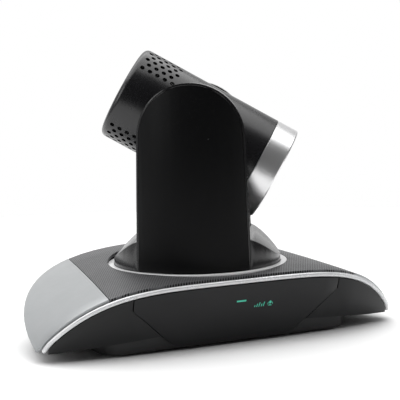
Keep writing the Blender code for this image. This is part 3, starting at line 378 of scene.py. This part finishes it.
def on_window(x, z):
    """The window's face at this place seen from the front, as a matrix: Z out of the window, Y up."""
    spot, out, _, _ = window_faces.ray_cast(Vector((x, -0.3, z)), Vector((0, 1, 0)))
    across = Vector((0, 0, 1)).cross(out).normalized()
    return Matrix.Translation(spot) @ Matrix((across, out.cross(across), out)).transposed().to_4x4()


def sign_piece(name, bm, x, z):
    """Lifts a flat sign to its thickness and lays it on the window."""
    bmesh.ops.recalc_face_normals(bm, faces=bm.faces)
    raised = bmesh.ops.extrude_face_region(bm, geom=bm.faces[:])
    lifted = [v for v in raised["geom"] if isinstance(v, bmesh.types.BMVert)]
    bmesh.ops.translate(bm, vec=(0, 0, sign_thickness), verts=lifted)
    bmesh.ops.recalc_face_normals(bm, faces=bm.faces)
    bmesh.ops.transform(bm, matrix=on_window(x, z), verts=bm.verts)
    return piece_from(name, bm, sign_green, "base", "gloss_black")


def flat_disc(bm, x, y, radius, sides=20, squash=1.0):
    made = bmesh.ops.create_circle(bm, cap_ends=True, segments=sides, radius=radius)
    bmesh.ops.scale(bm, vec=(1, squash, 1), verts=made["verts"])
    bmesh.ops.translate(bm, vec=(x, y, 0), verts=made["verts"])


def flat_bar(bm, x, y, width, height, lean=0.0):
    made = bmesh.ops.create_grid(bm, x_segments=1, y_segments=1, size=0.5)
    bmesh.ops.scale(bm, vec=(width, height, 1), verts=made["verts"])
    for vert in made["verts"]:
        vert.co.x += vert.co.y * lean
    bmesh.ops.translate(bm, vec=(x, y, 0), verts=made["verts"])


bm = bmesh.new()
flat_bar(bm, 0, 0, light_length, light_width)
sign_piece("ready_sign", bm, 1.2 * MM, 31.1 * MM)
bm = bmesh.new()
for step, height in enumerate(bar_heights):
    flat_bar(bm, bar_pitch * (step - 2), bar_foot + height / 2, bar_width, height, 0.2)
sign_piece("level_sign", bm, 15.4 * MM, 27.0 * MM)
bm = bmesh.new()
flat_disc(bm, 0, 0.6 * MM, 0.85 * MM, squash=1.35)
flat_bar(bm, 0, -1.2 * MM, 0.4 * MM, 0.9 * MM)
flat_bar(bm, 0, -1.75 * MM, 2.6 * MM, 0.4 * MM)
for side in (-1, 1):
    flat_bar(bm, side * 1.6 * MM, -0.1 * MM, 0.4 * MM, 1.7 * MM, -side * 0.25)
sign_piece("microphone_sign", bm, 23.6 * MM, 27.4 * MM)

# ---------------------------------------------------------------- front trim
# A bright painted bead that runs along the base's top edge from one wing tip to the other.

trim_silver = finish(
    "trim_bright_paint", (0.66, 0.67, 0.68), (0.80, 0.80, 0.81), 0.26, metallic=0.25, grain=0.08
)
shader_of(trim_silver).inputs["Coat Weight"].default_value = 0.5
refine("front_trim", trim_silver, sharp=60)

# ---------------------------------------------------------------- wing covers
# Two silver shells clip over the wings. They are ABS with a fine metallic paint under lacquer.

wing_silver = finish(
    "wing_metallic_paint",
    (0.30, 0.312, 0.318),
    (0.42, 0.433, 0.442),
    0.38,
    metallic=0.55,
    grain=0.12,
    scale=5200,
    dust=0.05,
)
shader_of(wing_silver).inputs["Coat Weight"].default_value = 0.35
shader_of(wing_silver).inputs["Coat Roughness"].default_value = 0.25
for side in ("left", "right"):
    refine(f"wing_cover_{side}", wing_silver, 0.35 * MM, sharp=50)

# ---------------------------------------------------------------- mesh cover
# A perforated dark sheet between the wings, over the microphones, with a round opening for the
# turntable. Its holes are in staggered rows, and their radius is a share of the pitch.

hole_pitch = 1.9 * MM
hole_radius = 0.30
row_step = 0.866
hole_depth = 0.3 * MM
perforation, ends_in, ends_out = new_group(
    "perforation", (("Pitch", hole_pitch), ("Hole", hole_radius)), ("Hole",)
)
place = perforation.nodes.new("ShaderNodeTexCoord").outputs["Object"]
parts = perforation.nodes.new("ShaderNodeSeparateXYZ")
perforation.links.new(place, parts.inputs[0])
column = math_node(perforation, "DIVIDE", parts.outputs["X"], ends_in.outputs["Pitch"])
row_pitch = math_node(perforation, "MULTIPLY", ends_in.outputs["Pitch"], row_step)
row = math_node(perforation, "DIVIDE", parts.outputs["Y"], row_pitch)
row_number = math_node(perforation, "FLOOR", row)
odd = math_node(perforation, "FLOORED_MODULO", row_number, 2.0)
shifted = math_node(perforation, "MULTIPLY_ADD", odd, 0.5, column)
across = math_node(perforation, "SUBTRACT", math_node(perforation, "FRACT", shifted), 0.5)
along = math_node(perforation, "SUBTRACT", math_node(perforation, "FRACT", row), 0.5)
along = math_node(perforation, "MULTIPLY", along, row_step)
square = math_node(perforation, "MULTIPLY", across, across)
reach = math_node(perforation, "SQRT", math_node(perforation, "MULTIPLY_ADD", along, along, square))
edge = math_node(perforation, "SUBTRACT", reach, ends_in.outputs["Hole"])
hole = math_node(perforation, "MULTIPLY_ADD", edge, -14.0, 0.5)
hole = math_node(perforation, "MINIMUM", math_node(perforation, "MAXIMUM", hole, 0.0), 1.0)
perforation.links.new(hole, ends_out.inputs["Hole"])

mesh_paint = finish(
    "mesh_grey_paint", (0.120, 0.121, 0.126), (0.155, 0.156, 0.162), 0.45, metallic=0.35, grain=0.1
)
mesh_tree = mesh_paint.node_tree
mesh_shader = shader_of(mesh_paint)
holes = add_group(mesh_tree, perforation, Pitch=hole_pitch, Hole=hole_radius)
sheet_colour = mesh_shader.inputs["Base Color"].links[0].from_socket
sheet_normal = mesh_shader.inputs["Normal"].links[0].from_socket
# The holes are not cut through the sheet: where the mask finds a hole, the colour is painted near-black, a
# painted shade for the dark space behind it. A shallow bump gives the holes their depth.
hole_shade_black = (0.002, 0.002, 0.0022)
mesh_colour = mix_colours(mesh_tree, holes.outputs["Hole"], sheet_colour, hole_shade_black)
mesh_tree.links.new(mesh_colour, mesh_shader.inputs["Base Color"])
depth = math_node(mesh_tree, "MULTIPLY", holes.outputs["Hole"], -1.0)
sunk_normal = bump_node(mesh_tree, depth, 0.6, hole_depth, sheet_normal)
mesh_tree.links.new(sunk_normal, mesh_shader.inputs["Normal"])
refine("mesh_cover", mesh_paint, 0.25 * MM, sharp=50)

# ---------------------------------------------------------------- boards, sockets and rear panel
# The main board stands on the tray's bosses. Its sockets reach through the black rear panel, which
# is held by two screws. The indicator board and the infra-red receiver sit behind the window.
# The steel, brass, rubber and nylon parts inside get their finishes here too.

board_green = finish("board_solder_mask", (0.010, 0.075, 0.030), (0.022, 0.135, 0.060), 0.42, grain=0.2)
chip_black = finish("chip_epoxy", (0.012, 0.012, 0.013), (0.026, 0.026, 0.028), 0.5, grain=0.4)
contact_gold = finish(
    "contact_gold", (0.62, 0.44, 0.14), (0.80, 0.60, 0.26), 0.25, metallic=1.0, grain=0.05
)
insulator_black = finish(
    "insulator_nylon", (0.010, 0.010, 0.011), (0.019, 0.019, 0.020), 0.45, grain=0.3
)
dress(board_green, "main_board", "indicator_board", "sensor_board")
dress(chip_black, "ir_receiver", "image_sensor")
dress(plain_steel, "microphone_left", "microphone_right", "chassis", "pan_bearing")
dress(plain_steel, "pan_motor", "pan_shaft")
dress(plain_steel, "tilt_bearing_left", "tilt_bearing_right", "tilt_motor", "guide_rod_1", "guide_rod_2")
dress(plain_steel, "tilt_shaft_left", "tilt_shaft_right")
dress(insert_brass, "pan_motor_pulley", "tilt_motor_pulley")
dress(foot_rubber, "pan_belt", "tilt_belt")
dress(insulator_black, "pan_pulley", "tilt_pulley")
refine("rear_panel", tray_black, 0.25 * MM)
for socket in ("lan_socket", "usb_socket", "hdmi_socket"):
    refine(socket, plain_steel, 0.25 * MM)
for socket in ("power_jack", "serial_socket"):
    refine(socket, insulator_black, 0.3 * MM)


def block(bm, low, high, edge=0.0):
    """A box between two corners with softened edges, added to a mesh."""
    made = bmesh.ops.create_cube(bm, size=1)["verts"]
    size = Vector(high) - Vector(low)
    bmesh.ops.scale(bm, vec=size, verts=made)
    bmesh.ops.translate(bm, vec=(Vector(high) + Vector(low)) / 2, verts=made)
    if edge:
        edges = list({e for v in made for e in v.link_edges})
        bmesh.ops.bevel(
            bm, geom=edges, offset=edge, affect="EDGES", segments=2, profile=0.5, material=-1
        )


def socket_middle(node):
    low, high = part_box(node)
    return (low.x + high.x) / 2, high.y, (low.z + high.z) / 2


def y_rod(bm, x, y_low, y_high, z, radius, sides=14):
    made = bmesh.ops.create_cone(
        bm, cap_ends=True, segments=sides, radius1=radius, radius2=radius, depth=y_high - y_low
    )["verts"]
    bmesh.ops.rotate(bm, cent=(0, 0, 0), matrix=Matrix.Rotation(math.radians(90), 3, "X"), verts=made)
    bmesh.ops.translate(bm, vec=(x, (y_low + y_high) / 2, z), verts=made)


x, y, z = socket_middle("power_jack")
bm = bmesh.new()
y_rod(bm, x, y - 11.2 * MM, y - 1.5 * MM, z, 0.95 * MM)
soften(bm, 0.25 * MM)
piece_from("power_jack_pin", bm, plain_steel, "base", "steel")

x, y, z = socket_middle("serial_socket")
bm = bmesh.new()
for turn in range(8):
    angle = math.radians(22.5 + 45 * turn)
    spot_x, spot_z = x + 2.7 * MM * math.cos(angle), z + 2.7 * MM * math.sin(angle)
    y_rod(bm, spot_x, y - 11.2 * MM, y - 4 * MM, spot_z, 0.42 * MM, 8)
piece_from("serial_socket_pins", bm, contact_gold, "base", "brass")

x, y, z = socket_middle("lan_socket")
bm = bmesh.new()
for pin in range(8):
    pin_x = x + (pin - 3.5) * 1.02 * MM
    contact_low = (pin_x - 0.2 * MM, y - 10.5 * MM, z + 3.1 * MM)
    block(bm, contact_low, (pin_x + 0.2 * MM, y - 2 * MM, z + 3.5 * MM))
piece_from("lan_socket_contacts", bm, contact_gold, "base", "brass")
for side, name in ((-1, "left"), (1, "right")):
    bm = bmesh.new()
    lamp_x = x + side * 5.2 * MM
    lamp_low = (lamp_x - 1.2 * MM, y - 0.1 * MM, z - 6.1 * MM)
    lamp_high = (lamp_x + 1.2 * MM, y + 0.15 * MM, z - 4.7 * MM)
    block(bm, lamp_low, lamp_high, 0.06 * MM)
    piece_from(f"lan_socket_lamp_{name}", bm, sign_green, "base", "gloss_black")

x, y, z = socket_middle("usb_socket")
bm = bmesh.new()
tongue_low = (x - 5.2 * MM, y - 10.8 * MM, z + 0.3 * MM)
block(bm, tongue_low, (x + 5.2 * MM, y - 1.2 * MM, z + 1.9 * MM), 0.15 * MM)
piece_from("usb_socket_tongue", bm, insulator_black, "base", "matte_black")
bm = bmesh.new()
for pin in range(4):
    pin_x = x + (pin - 1.5) * 2.3 * MM
    contact_low = (pin_x - 0.5 * MM, y - 9 * MM, z + 0.2 * MM)
    block(bm, contact_low, (pin_x + 0.5 * MM, y - 2 * MM, z + 0.35 * MM))
piece_from("usb_socket_contacts", bm, contact_gold, "base", "brass")

x, y, z = socket_middle("hdmi_socket")
bm = bmesh.new()
tongue_low = (x - 5.6 * MM, y - 10.8 * MM, z - 0.6 * MM)
block(bm, tongue_low, (x + 5.6 * MM, y - 1.4 * MM, z + 0.6 * MM), 0.12 * MM)
piece_from("hdmi_socket_tongue", bm, insulator_black, "base", "matte_black")

panel_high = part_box("rear_panel")[1]
cross_long = 1.5 * MM
cross_thin = 0.25 * MM
for side, name in ((-1, "left"), (1, "right")):
    bm = bmesh.new()
    screw_x = side * (panel_high.x - 4.5 * MM)
    screw_z = panel_high.z - 4.2 * MM
    y_rod(bm, screw_x, panel_high.y - 0.2 * MM, panel_high.y + 1.1 * MM, screw_z, 2.3 * MM, 28)
    soften(bm, 0.35 * MM)
    piece_from(f"rear_panel_screw_{name}", bm, plain_steel, "base", "steel")
    # The cross slot is two thin near-black bars laid on the screw's face: a painted shade standing in for
    # the recess, which is not cut.
    bm = bmesh.new()
    face = panel_high.y + 1.1 * MM
    for wide, high in ((cross_long, cross_thin), (cross_thin, cross_long)):
        bar_low = (screw_x - wide, face - 0.1 * MM, screw_z - high)
        block(bm, bar_low, (screw_x + wide, face + 0.03 * MM, screw_z + high))
    piece_from(f"rear_panel_screw_{name}_slot", bm, tray_black, "base", "matte_black")

# ---------------------------------------------------------------- turntable ring
# A white ring, moulded in one piece, lies round the turntable over the mesh cover's opening.


def turned(name, profile, axis, material, body, slot, *nodes, steps=96, edge=0.0, sharp=32.0):
    """Turns a profile of (radius, height) about the Z axis of a matrix. Its faces point outwards."""
    bm = bmesh.new()
    verts = [bm.verts.new((radius, 0, height)) for radius, height in profile]
    edges = [bm.edges.new(pair) for pair in zip(verts, verts[1:])]
    if profile[0][0] > 0:
        edges.append(bm.edges.new((verts[-1], verts[0])))
    bmesh.ops.spin(
        bm,
        geom=verts + edges,
        cent=(0, 0, 0),
        axis=(0, 0, 1),
        angle=2 * math.pi,
        steps=steps,
        use_merge=True,
        use_duplicate=False,
    )
    bmesh.ops.remove_doubles(bm, verts=bm.verts, dist=1e-6)
    bmesh.ops.recalc_face_normals(bm, faces=bm.faces)
    if edge:
        soften(bm, edge, segments=3)
    bmesh.ops.transform(bm, matrix=axis, verts=bm.verts)
    return piece_from(name, bm, material, body, slot, *nodes, sharp=sharp)


ring_low, ring_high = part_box("pan_ring")
ring_outer = (ring_high.x - ring_low.x) / 2
ring_inner = ring_outer - 4.4 * MM
ring_wall = 2 * MM
ring_white = finish("ring_white_satin", (0.93, 0.93, 0.94), (0.97, 0.97, 0.97), 0.3, grain=0.08, dust=0.05)
shader_of(ring_white).inputs["Coat Weight"].default_value = 0.4
ring_profile = [
    (ring_outer, ring_high.z),
    (ring_outer, ring_low.z),
    (ring_outer - ring_wall, ring_low.z),
    (ring_outer - ring_wall, ring_high.z - ring_wall),
    (ring_inner, ring_high.z - ring_wall),
    (ring_inner, ring_high.z),
]
turned(
    "pan_ring_finished",
    ring_profile,
    Matrix(),
    ring_white,
    "base",
    "white_plastic",
    "pan_ring",
    steps=144,
    edge=0.3 * MM,
)

# ---------------------------------------------------------------- yoke
# The turntable and both arms are one die casting, painted satin black. Its foot is a saddle whose
# rim sweeps up to the arms. A matte black cover closes the outside of each arm.

yoke_black = finish(
    "yoke_satin_paint", (0.0050, 0.0050, 0.0056), (0.0080, 0.0080, 0.0090), 0.22, grain=0.12, marks=0.05
)
bezel_plastic = finish(
    "bezel_black_plastic", (0.004, 0.004, 0.0045), (0.007, 0.007, 0.0075), 0.42, grain=0.3
)
cover_black = finish(
    "cover_matte_plastic",
    (0.0024, 0.0025, 0.0028),
    (0.0040, 0.0041, 0.0045),
    0.45,
    grain=0.3,
    scale=3200,
    marks=0.04,
)
shader_of(cover_black).inputs["Specular IOR Level"].default_value = 0.10
refine("yoke", yoke_black, 0.6 * MM, sharp=30)
for side in ("left", "right"):
    refine(f"arm_cover_{side}", cover_black, 0.5 * MM, sharp=40)

joints = {joint["name"]: joint for joint in frame["joints"]}
tilt_way = Vector(joints["tilt"]["axis"]).normalized()
arm_way = Vector((tilt_way.y, -tilt_way.x, 0))
cover_faces = BVHTree.FromBMesh(merged_node("arm_cover_left"))
pin_line = Vector(joints["tilt"]["pos_m"]) + arm_way * 12.5 * MM - Vector((0, 0, 0.6 * MM))
pin_spot, pin_out, _, _ = cover_faces.ray_cast(pin_line - tilt_way * 0.2, tilt_way)
bm = bmesh.new()
bmesh.ops.create_cone(
    bm,
    cap_ends=True,
    segments=24,
    radius1=0.55 * MM,
    radius2=0.45 * MM,
    depth=0.3 * MM,
    matrix=Matrix.Translation(pin_spot) @ pin_out.to_track_quat("Z", "Y").to_matrix().to_4x4(),
)
piece_from("arm_cover_pin", bm, bezel_plastic, "pan_head", "matte_black")

# ---------------------------------------------------------------- head shell
# A deep-drawn barrel painted satin black, closed at the back, with two fields of round vent holes
# near its rear end. It hangs between the arms on two short shafts.

lens_way = Vector(joints["zoom"]["axis"]).normalized()
head_up = lens_way.cross(tilt_way)
front_low, front_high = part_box("front_ring")
ring_middle = (front_low + front_high) / 2
head_front = 64.5 * MM
ring_length = 16 * MM
head_centre = ring_middle - lens_way * (head_front - ring_length / 2)
head_axis = Matrix.Translation(head_centre) @ Matrix((tilt_way, head_up, lens_way)).transposed().to_4x4()
head_radius = 34.25 * MM
head_rear = -58.7 * MM
shell_front = head_front - ring_length - 0.3 * MM

head_black = finish(
    "head_satin_paint",
    (0.0036, 0.0035, 0.0046),
    (0.0058, 0.0057, 0.0072),
    0.27,
    grain=0.12,
    scale=3600,
    marks=0.07,
)
shader_of(head_black).inputs["Specular IOR Level"].default_value = 0.6
shell_wall = 2 * MM
rear_round = 4 * MM
bore = head_radius - shell_wall
shell_profile = [(0, head_rear + shell_wall), (head_radius - rear_round, head_rear + shell_wall)]
shell_profile += [(bore, head_rear + 4.2 * MM), (bore, shell_front), (head_radius, shell_front)]
straight_step = (shell_front - head_rear - rear_round) / 8
shell_profile += [(head_radius, shell_front - straight_step * k) for k in range(1, 8)]
for step in range(9):
    angle = math.radians(90 * step / 8)
    radius = head_radius - rear_round + rear_round * math.cos(angle)
    shell_profile.append((radius, head_rear + rear_round - rear_round * math.sin(angle)))
shell_profile.append((0, head_rear))
head_shell = turned(
    "head_shell_finished",
    shell_profile,
    head_axis,
    head_black,
    "tilt_head",
    "satin_black",
    "head_shell",
    steps=128,
)

vent_rows = 13
vent_holes = 5
vent_turn = 8.2
vent_pitch = 5.85 * MM
vent_radius = 1.65 * MM
vent_start = head_rear + 6.5 * MM
shaft_radius = 6.4 * MM
bm = bmesh.new()
for field in (0, 1):
    for row_index in range(vent_rows):
        angle = math.radians(90 + 180 * field + (row_index - (vent_rows - 1) / 2) * vent_turn)
        shift = row_index % 2
        for hole_index in range(vent_holes - shift):
            along_head = vent_start + vent_pitch * (hole_index + 0.5 * shift)
            spot = Matrix.Rotation(angle, 4, "Z") @ Matrix.Translation((head_radius, 0, along_head))
            drill = spot @ Matrix.Rotation(math.radians(90), 4, "Y")
            bmesh.ops.create_cone(
                bm,
                cap_ends=True,
                segments=16,
                radius1=vent_radius,
                radius2=vent_radius,
                depth=8 * MM,
                matrix=head_axis @ drill,
            )
along_shafts = tilt_way.to_track_quat("Z", "Y").to_matrix().to_4x4()
for side in (-1, 1):
    shaft_place = Vector(joints["tilt"]["pos_m"]) + tilt_way * side * head_radius
    bmesh.ops.create_cone(
        bm,
        cap_ends=True,
        segments=32,
        radius1=shaft_radius,
        radius2=shaft_radius,
        depth=20 * MM,
        matrix=Matrix.Translation(shaft_place) @ along_shafts,
    )
vent_mesh = bpy.data.meshes.new("vent_drills")
bm.to_mesh(vent_mesh)
bm.free()
vent_drills = bpy.data.objects.new("vent_drills", vent_mesh)
bpy.context.scene.collection.objects.link(vent_drills)
drilling = head_shell.modifiers.new("vents", "BOOLEAN")
drilling.object = vent_drills
drilling.solver = "EXACT"
graph = bpy.context.evaluated_depsgraph_get()
drilled = bpy.data.meshes.new_from_object(head_shell.evaluated_get(graph))
head_shell.modifiers.clear()
head_shell.data = drilled
drilled.shade_smooth()
drilled.set_sharp_from_angle(angle=math.radians(32))
bpy.data.objects.remove(vent_drills, do_unlink=True)

# ---------------------------------------------------------------- front ring
# A turned aluminium ring, bead blasted and clear anodised, closes the barrel's front edge.

ring_metal = finish(
    "ring_anodised",
    (0.74, 0.74, 0.745),
    (0.84, 0.84, 0.845),
    0.3,
    metallic=0.9,
    grain=0.1,
    scale=4800,
    marks=0.05,
    dust=0.02,
)
ring_back = head_front - ring_length
ring_bore = head_radius - 2.6 * MM
front_profile = [
    (head_radius - 0.8 * MM, head_front),
    (head_radius, head_front - 0.8 * MM),
    (head_radius, ring_back + 0.3 * MM),
    (head_radius - 0.3 * MM, ring_back),
    (ring_bore, ring_back),
    (ring_bore, head_front - 0.4 * MM),
    (head_radius - 2.2 * MM, head_front),
]
turned(
    "front_ring_finished",
    front_profile,
    head_axis,
    ring_metal,
    "tilt_head",
    "bright_silver",
    "front_ring",
    steps=128,
)

# ---------------------------------------------------------------- lens
# A black bezel with stepped baffles surrounds the lens barrel. The front element is coated glass,
# and the zoom and focus groups slide on rods in the block behind it.

face = head_front - 3.5 * MM
bezel_outer = head_radius - 2.9 * MM
bezel_inner = 20 * MM
bezel_wall = 1.6 * MM
bezel_back = face - 6 * MM
bezel_profile = [(bezel_outer, face), (bezel_outer, bezel_back), (bezel_outer - bezel_wall, bezel_back)]
bezel_profile += [(bezel_outer - bezel_wall, face - bezel_wall), (bezel_inner, face - 4 * MM)]
for step in range(5):
    radius = bezel_inner + step * 2.1 * MM
    height = face - 2.5 * MM + step * 0.5 * MM
    bezel_profile += [(radius, height), (radius + 1.9 * MM, height)]
bezel_profile = [p for p in bezel_profile if p[0] <= bezel_outer]
turned(
    "lens_bezel_finished", bezel_profile, head_axis, bezel_plastic, "tilt_head", "matte_black", "lens_bezel"
)

barrel_black = finish(
    "barrel_anodised", (0.009, 0.009, 0.010), (0.016, 0.016, 0.018), 0.28, metallic=0.4, grain=0.1
)
barrel_front = face - 4 * MM
barrel_outer = 17.5 * MM
barrel_bore = 15.9 * MM
barrel_back = 22 * MM
ridge_bore = 15.6 * MM
ridge_width = 1.2 * MM
barrel_profile = [(barrel_outer, barrel_front), (barrel_outer, barrel_back), (barrel_bore, barrel_back)]
for step in range(6):
    height = 26 * MM + step * 2.6 * MM
    barrel_profile += [(barrel_bore, height), (ridge_bore, height)]
    barrel_profile += [(ridge_bore, height + ridge_width), (barrel_bore, height + ridge_width)]
barrel_profile += [(barrel_bore, barrel_front - 0.6 * MM), (16.5 * MM, barrel_front)]
turned(
    "lens_barrel_finished",
    barrel_profile,
    head_axis,
    barrel_black,
    "tilt_head",
    "satin_black",
    "lens_barrel",
)

coated_glass = finish(
    "coated_glass", (0.012, 0.008, 0.030), (0.022, 0.012, 0.048), 0.05, grain=0.0, marks=0.02, dust=0.0
)
glass_shader = shader_of(coated_glass)
glass_shader.inputs["Coat Weight"].default_value = 1.0
glass_shader.inputs["Coat Roughness"].default_value = 0.02
glass_shader.inputs["Coat Tint"].default_value = (0.72, 0.60, 1.0, 1)
glass_shader.inputs["Specular IOR Level"].default_value = 0.9
rim = barrel_front - 3 * MM
lens_radius = 15.5 * MM
lens_dome = 3.25 * MM
lens_profile = [(lens_radius * k / 16, rim - lens_dome * (k / 16) ** 2) for k in range(17)]
lens_profile += [(lens_radius, rim - 5.5 * MM), (0, rim - 6.5 * MM)]
turned(
    "front_lens_finished", lens_profile, head_axis, coated_glass, "tilt_head", "lens_glass", "front_lens"
)
retainer_inner = 14.6 * MM
retainer = [(ridge_bore, rim + 0.4 * MM), (ridge_bore, rim - 2.7 * MM)]
retainer += [(retainer_inner, rim - 2.5 * MM), (retainer_inner, rim + 0.1 * MM)]
turned("lens_retainer", retainer, head_axis, barrel_black, "tilt_head", "satin_black", edge=0.15 * MM)
dress(bezel_plastic, "camera_block")
dress(coated_glass, "zoom_group", "focus_group")

# ---------------------------------------------------------------- floor and light
# A white table top under a broad overhead softbox, before a bright white wall. The studio is dark
# on the camera's side, so that the black pieces stay black.


def soft_panel(name, place, aim, width, height, power):
    data = bpy.data.lights.new(name, "AREA")
    data.shape = "RECTANGLE"
    data.size = width
    data.size_y = height
    data.energy = power
    lamp = bpy.data.objects.new(name, data)
    bpy.context.scene.collection.objects.link(lamp)
    lamp.location = place
    lamp.rotation_euler = (Vector(aim) - Vector(place)).to_track_quat("-Z", "Y").to_euler()


table_radius = 750 * MM
bm = bmesh.new()
bmesh.ops.create_circle(bm, cap_ends=True, segments=96, radius=table_radius)
floor_mesh = bpy.data.meshes.new("table_top")
bm.to_mesh(floor_mesh)
bm.free()
floor_white = bpy.data.materials.new("table_white")
floor_white.use_nodes = True
floor_shader = shader_of(floor_white)
floor_shader.inputs["Base Color"].default_value = (0.97, 0.97, 0.97, 1)
floor_shader.inputs["Roughness"].default_value = 0.9
floor_shader.inputs["Specular IOR Level"].default_value = 0.0
floor_mesh.materials.append(floor_white)
table_top = bpy.data.objects.new("table_top", floor_mesh)
bpy.context.scene.collection.objects.link(table_top)

soft_panel("overhead_softbox", (0.0, 0.35, 1.9), (0, 0.1, 0), 3.2, 2.8, 66)
soft_panel("left_panel", (-1.5, -0.1, 0.7), (0, 0, 0.1), 0.8, 1.0, 7)
soft_panel("right_panel", (1.5, -0.4, 0.7), (0, 0, 0.1), 0.6, 0.9, 3)
studio = bpy.data.worlds.new("studio")
bpy.context.scene.world = studio
studio.use_nodes = True
studio_tree = studio.node_tree
seen = studio_tree.nodes.new("ShaderNodeLightPath").outputs["Is Camera Ray"]
towards = studio_tree.nodes.new("ShaderNodeSeparateXYZ")
studio_tree.links.new(studio_tree.nodes.new("ShaderNodeTexCoord").outputs["Generated"], towards.inputs[0])
wall_glow = 0.95
room_glow = 0.07
wall_rise = 1.1
wall_start = -0.1
behind = math_node(studio_tree, "MULTIPLY_ADD", towards.outputs["Y"], wall_rise, wall_start)
behind = math_node(studio_tree, "MAXIMUM", behind, 0.0)
glow = math_node(studio_tree, "MULTIPLY_ADD", behind, wall_glow, room_glow)
glow = math_node(studio_tree, "MAXIMUM", glow, seen)
studio_tree.nodes["Background"].inputs["Color"].default_value = (1, 1, 1, 1)
studio_tree.links.new(glow, studio_tree.nodes["Background"].inputs["Strength"])
bpy.context.scene.view_settings.view_transform = "Standard"
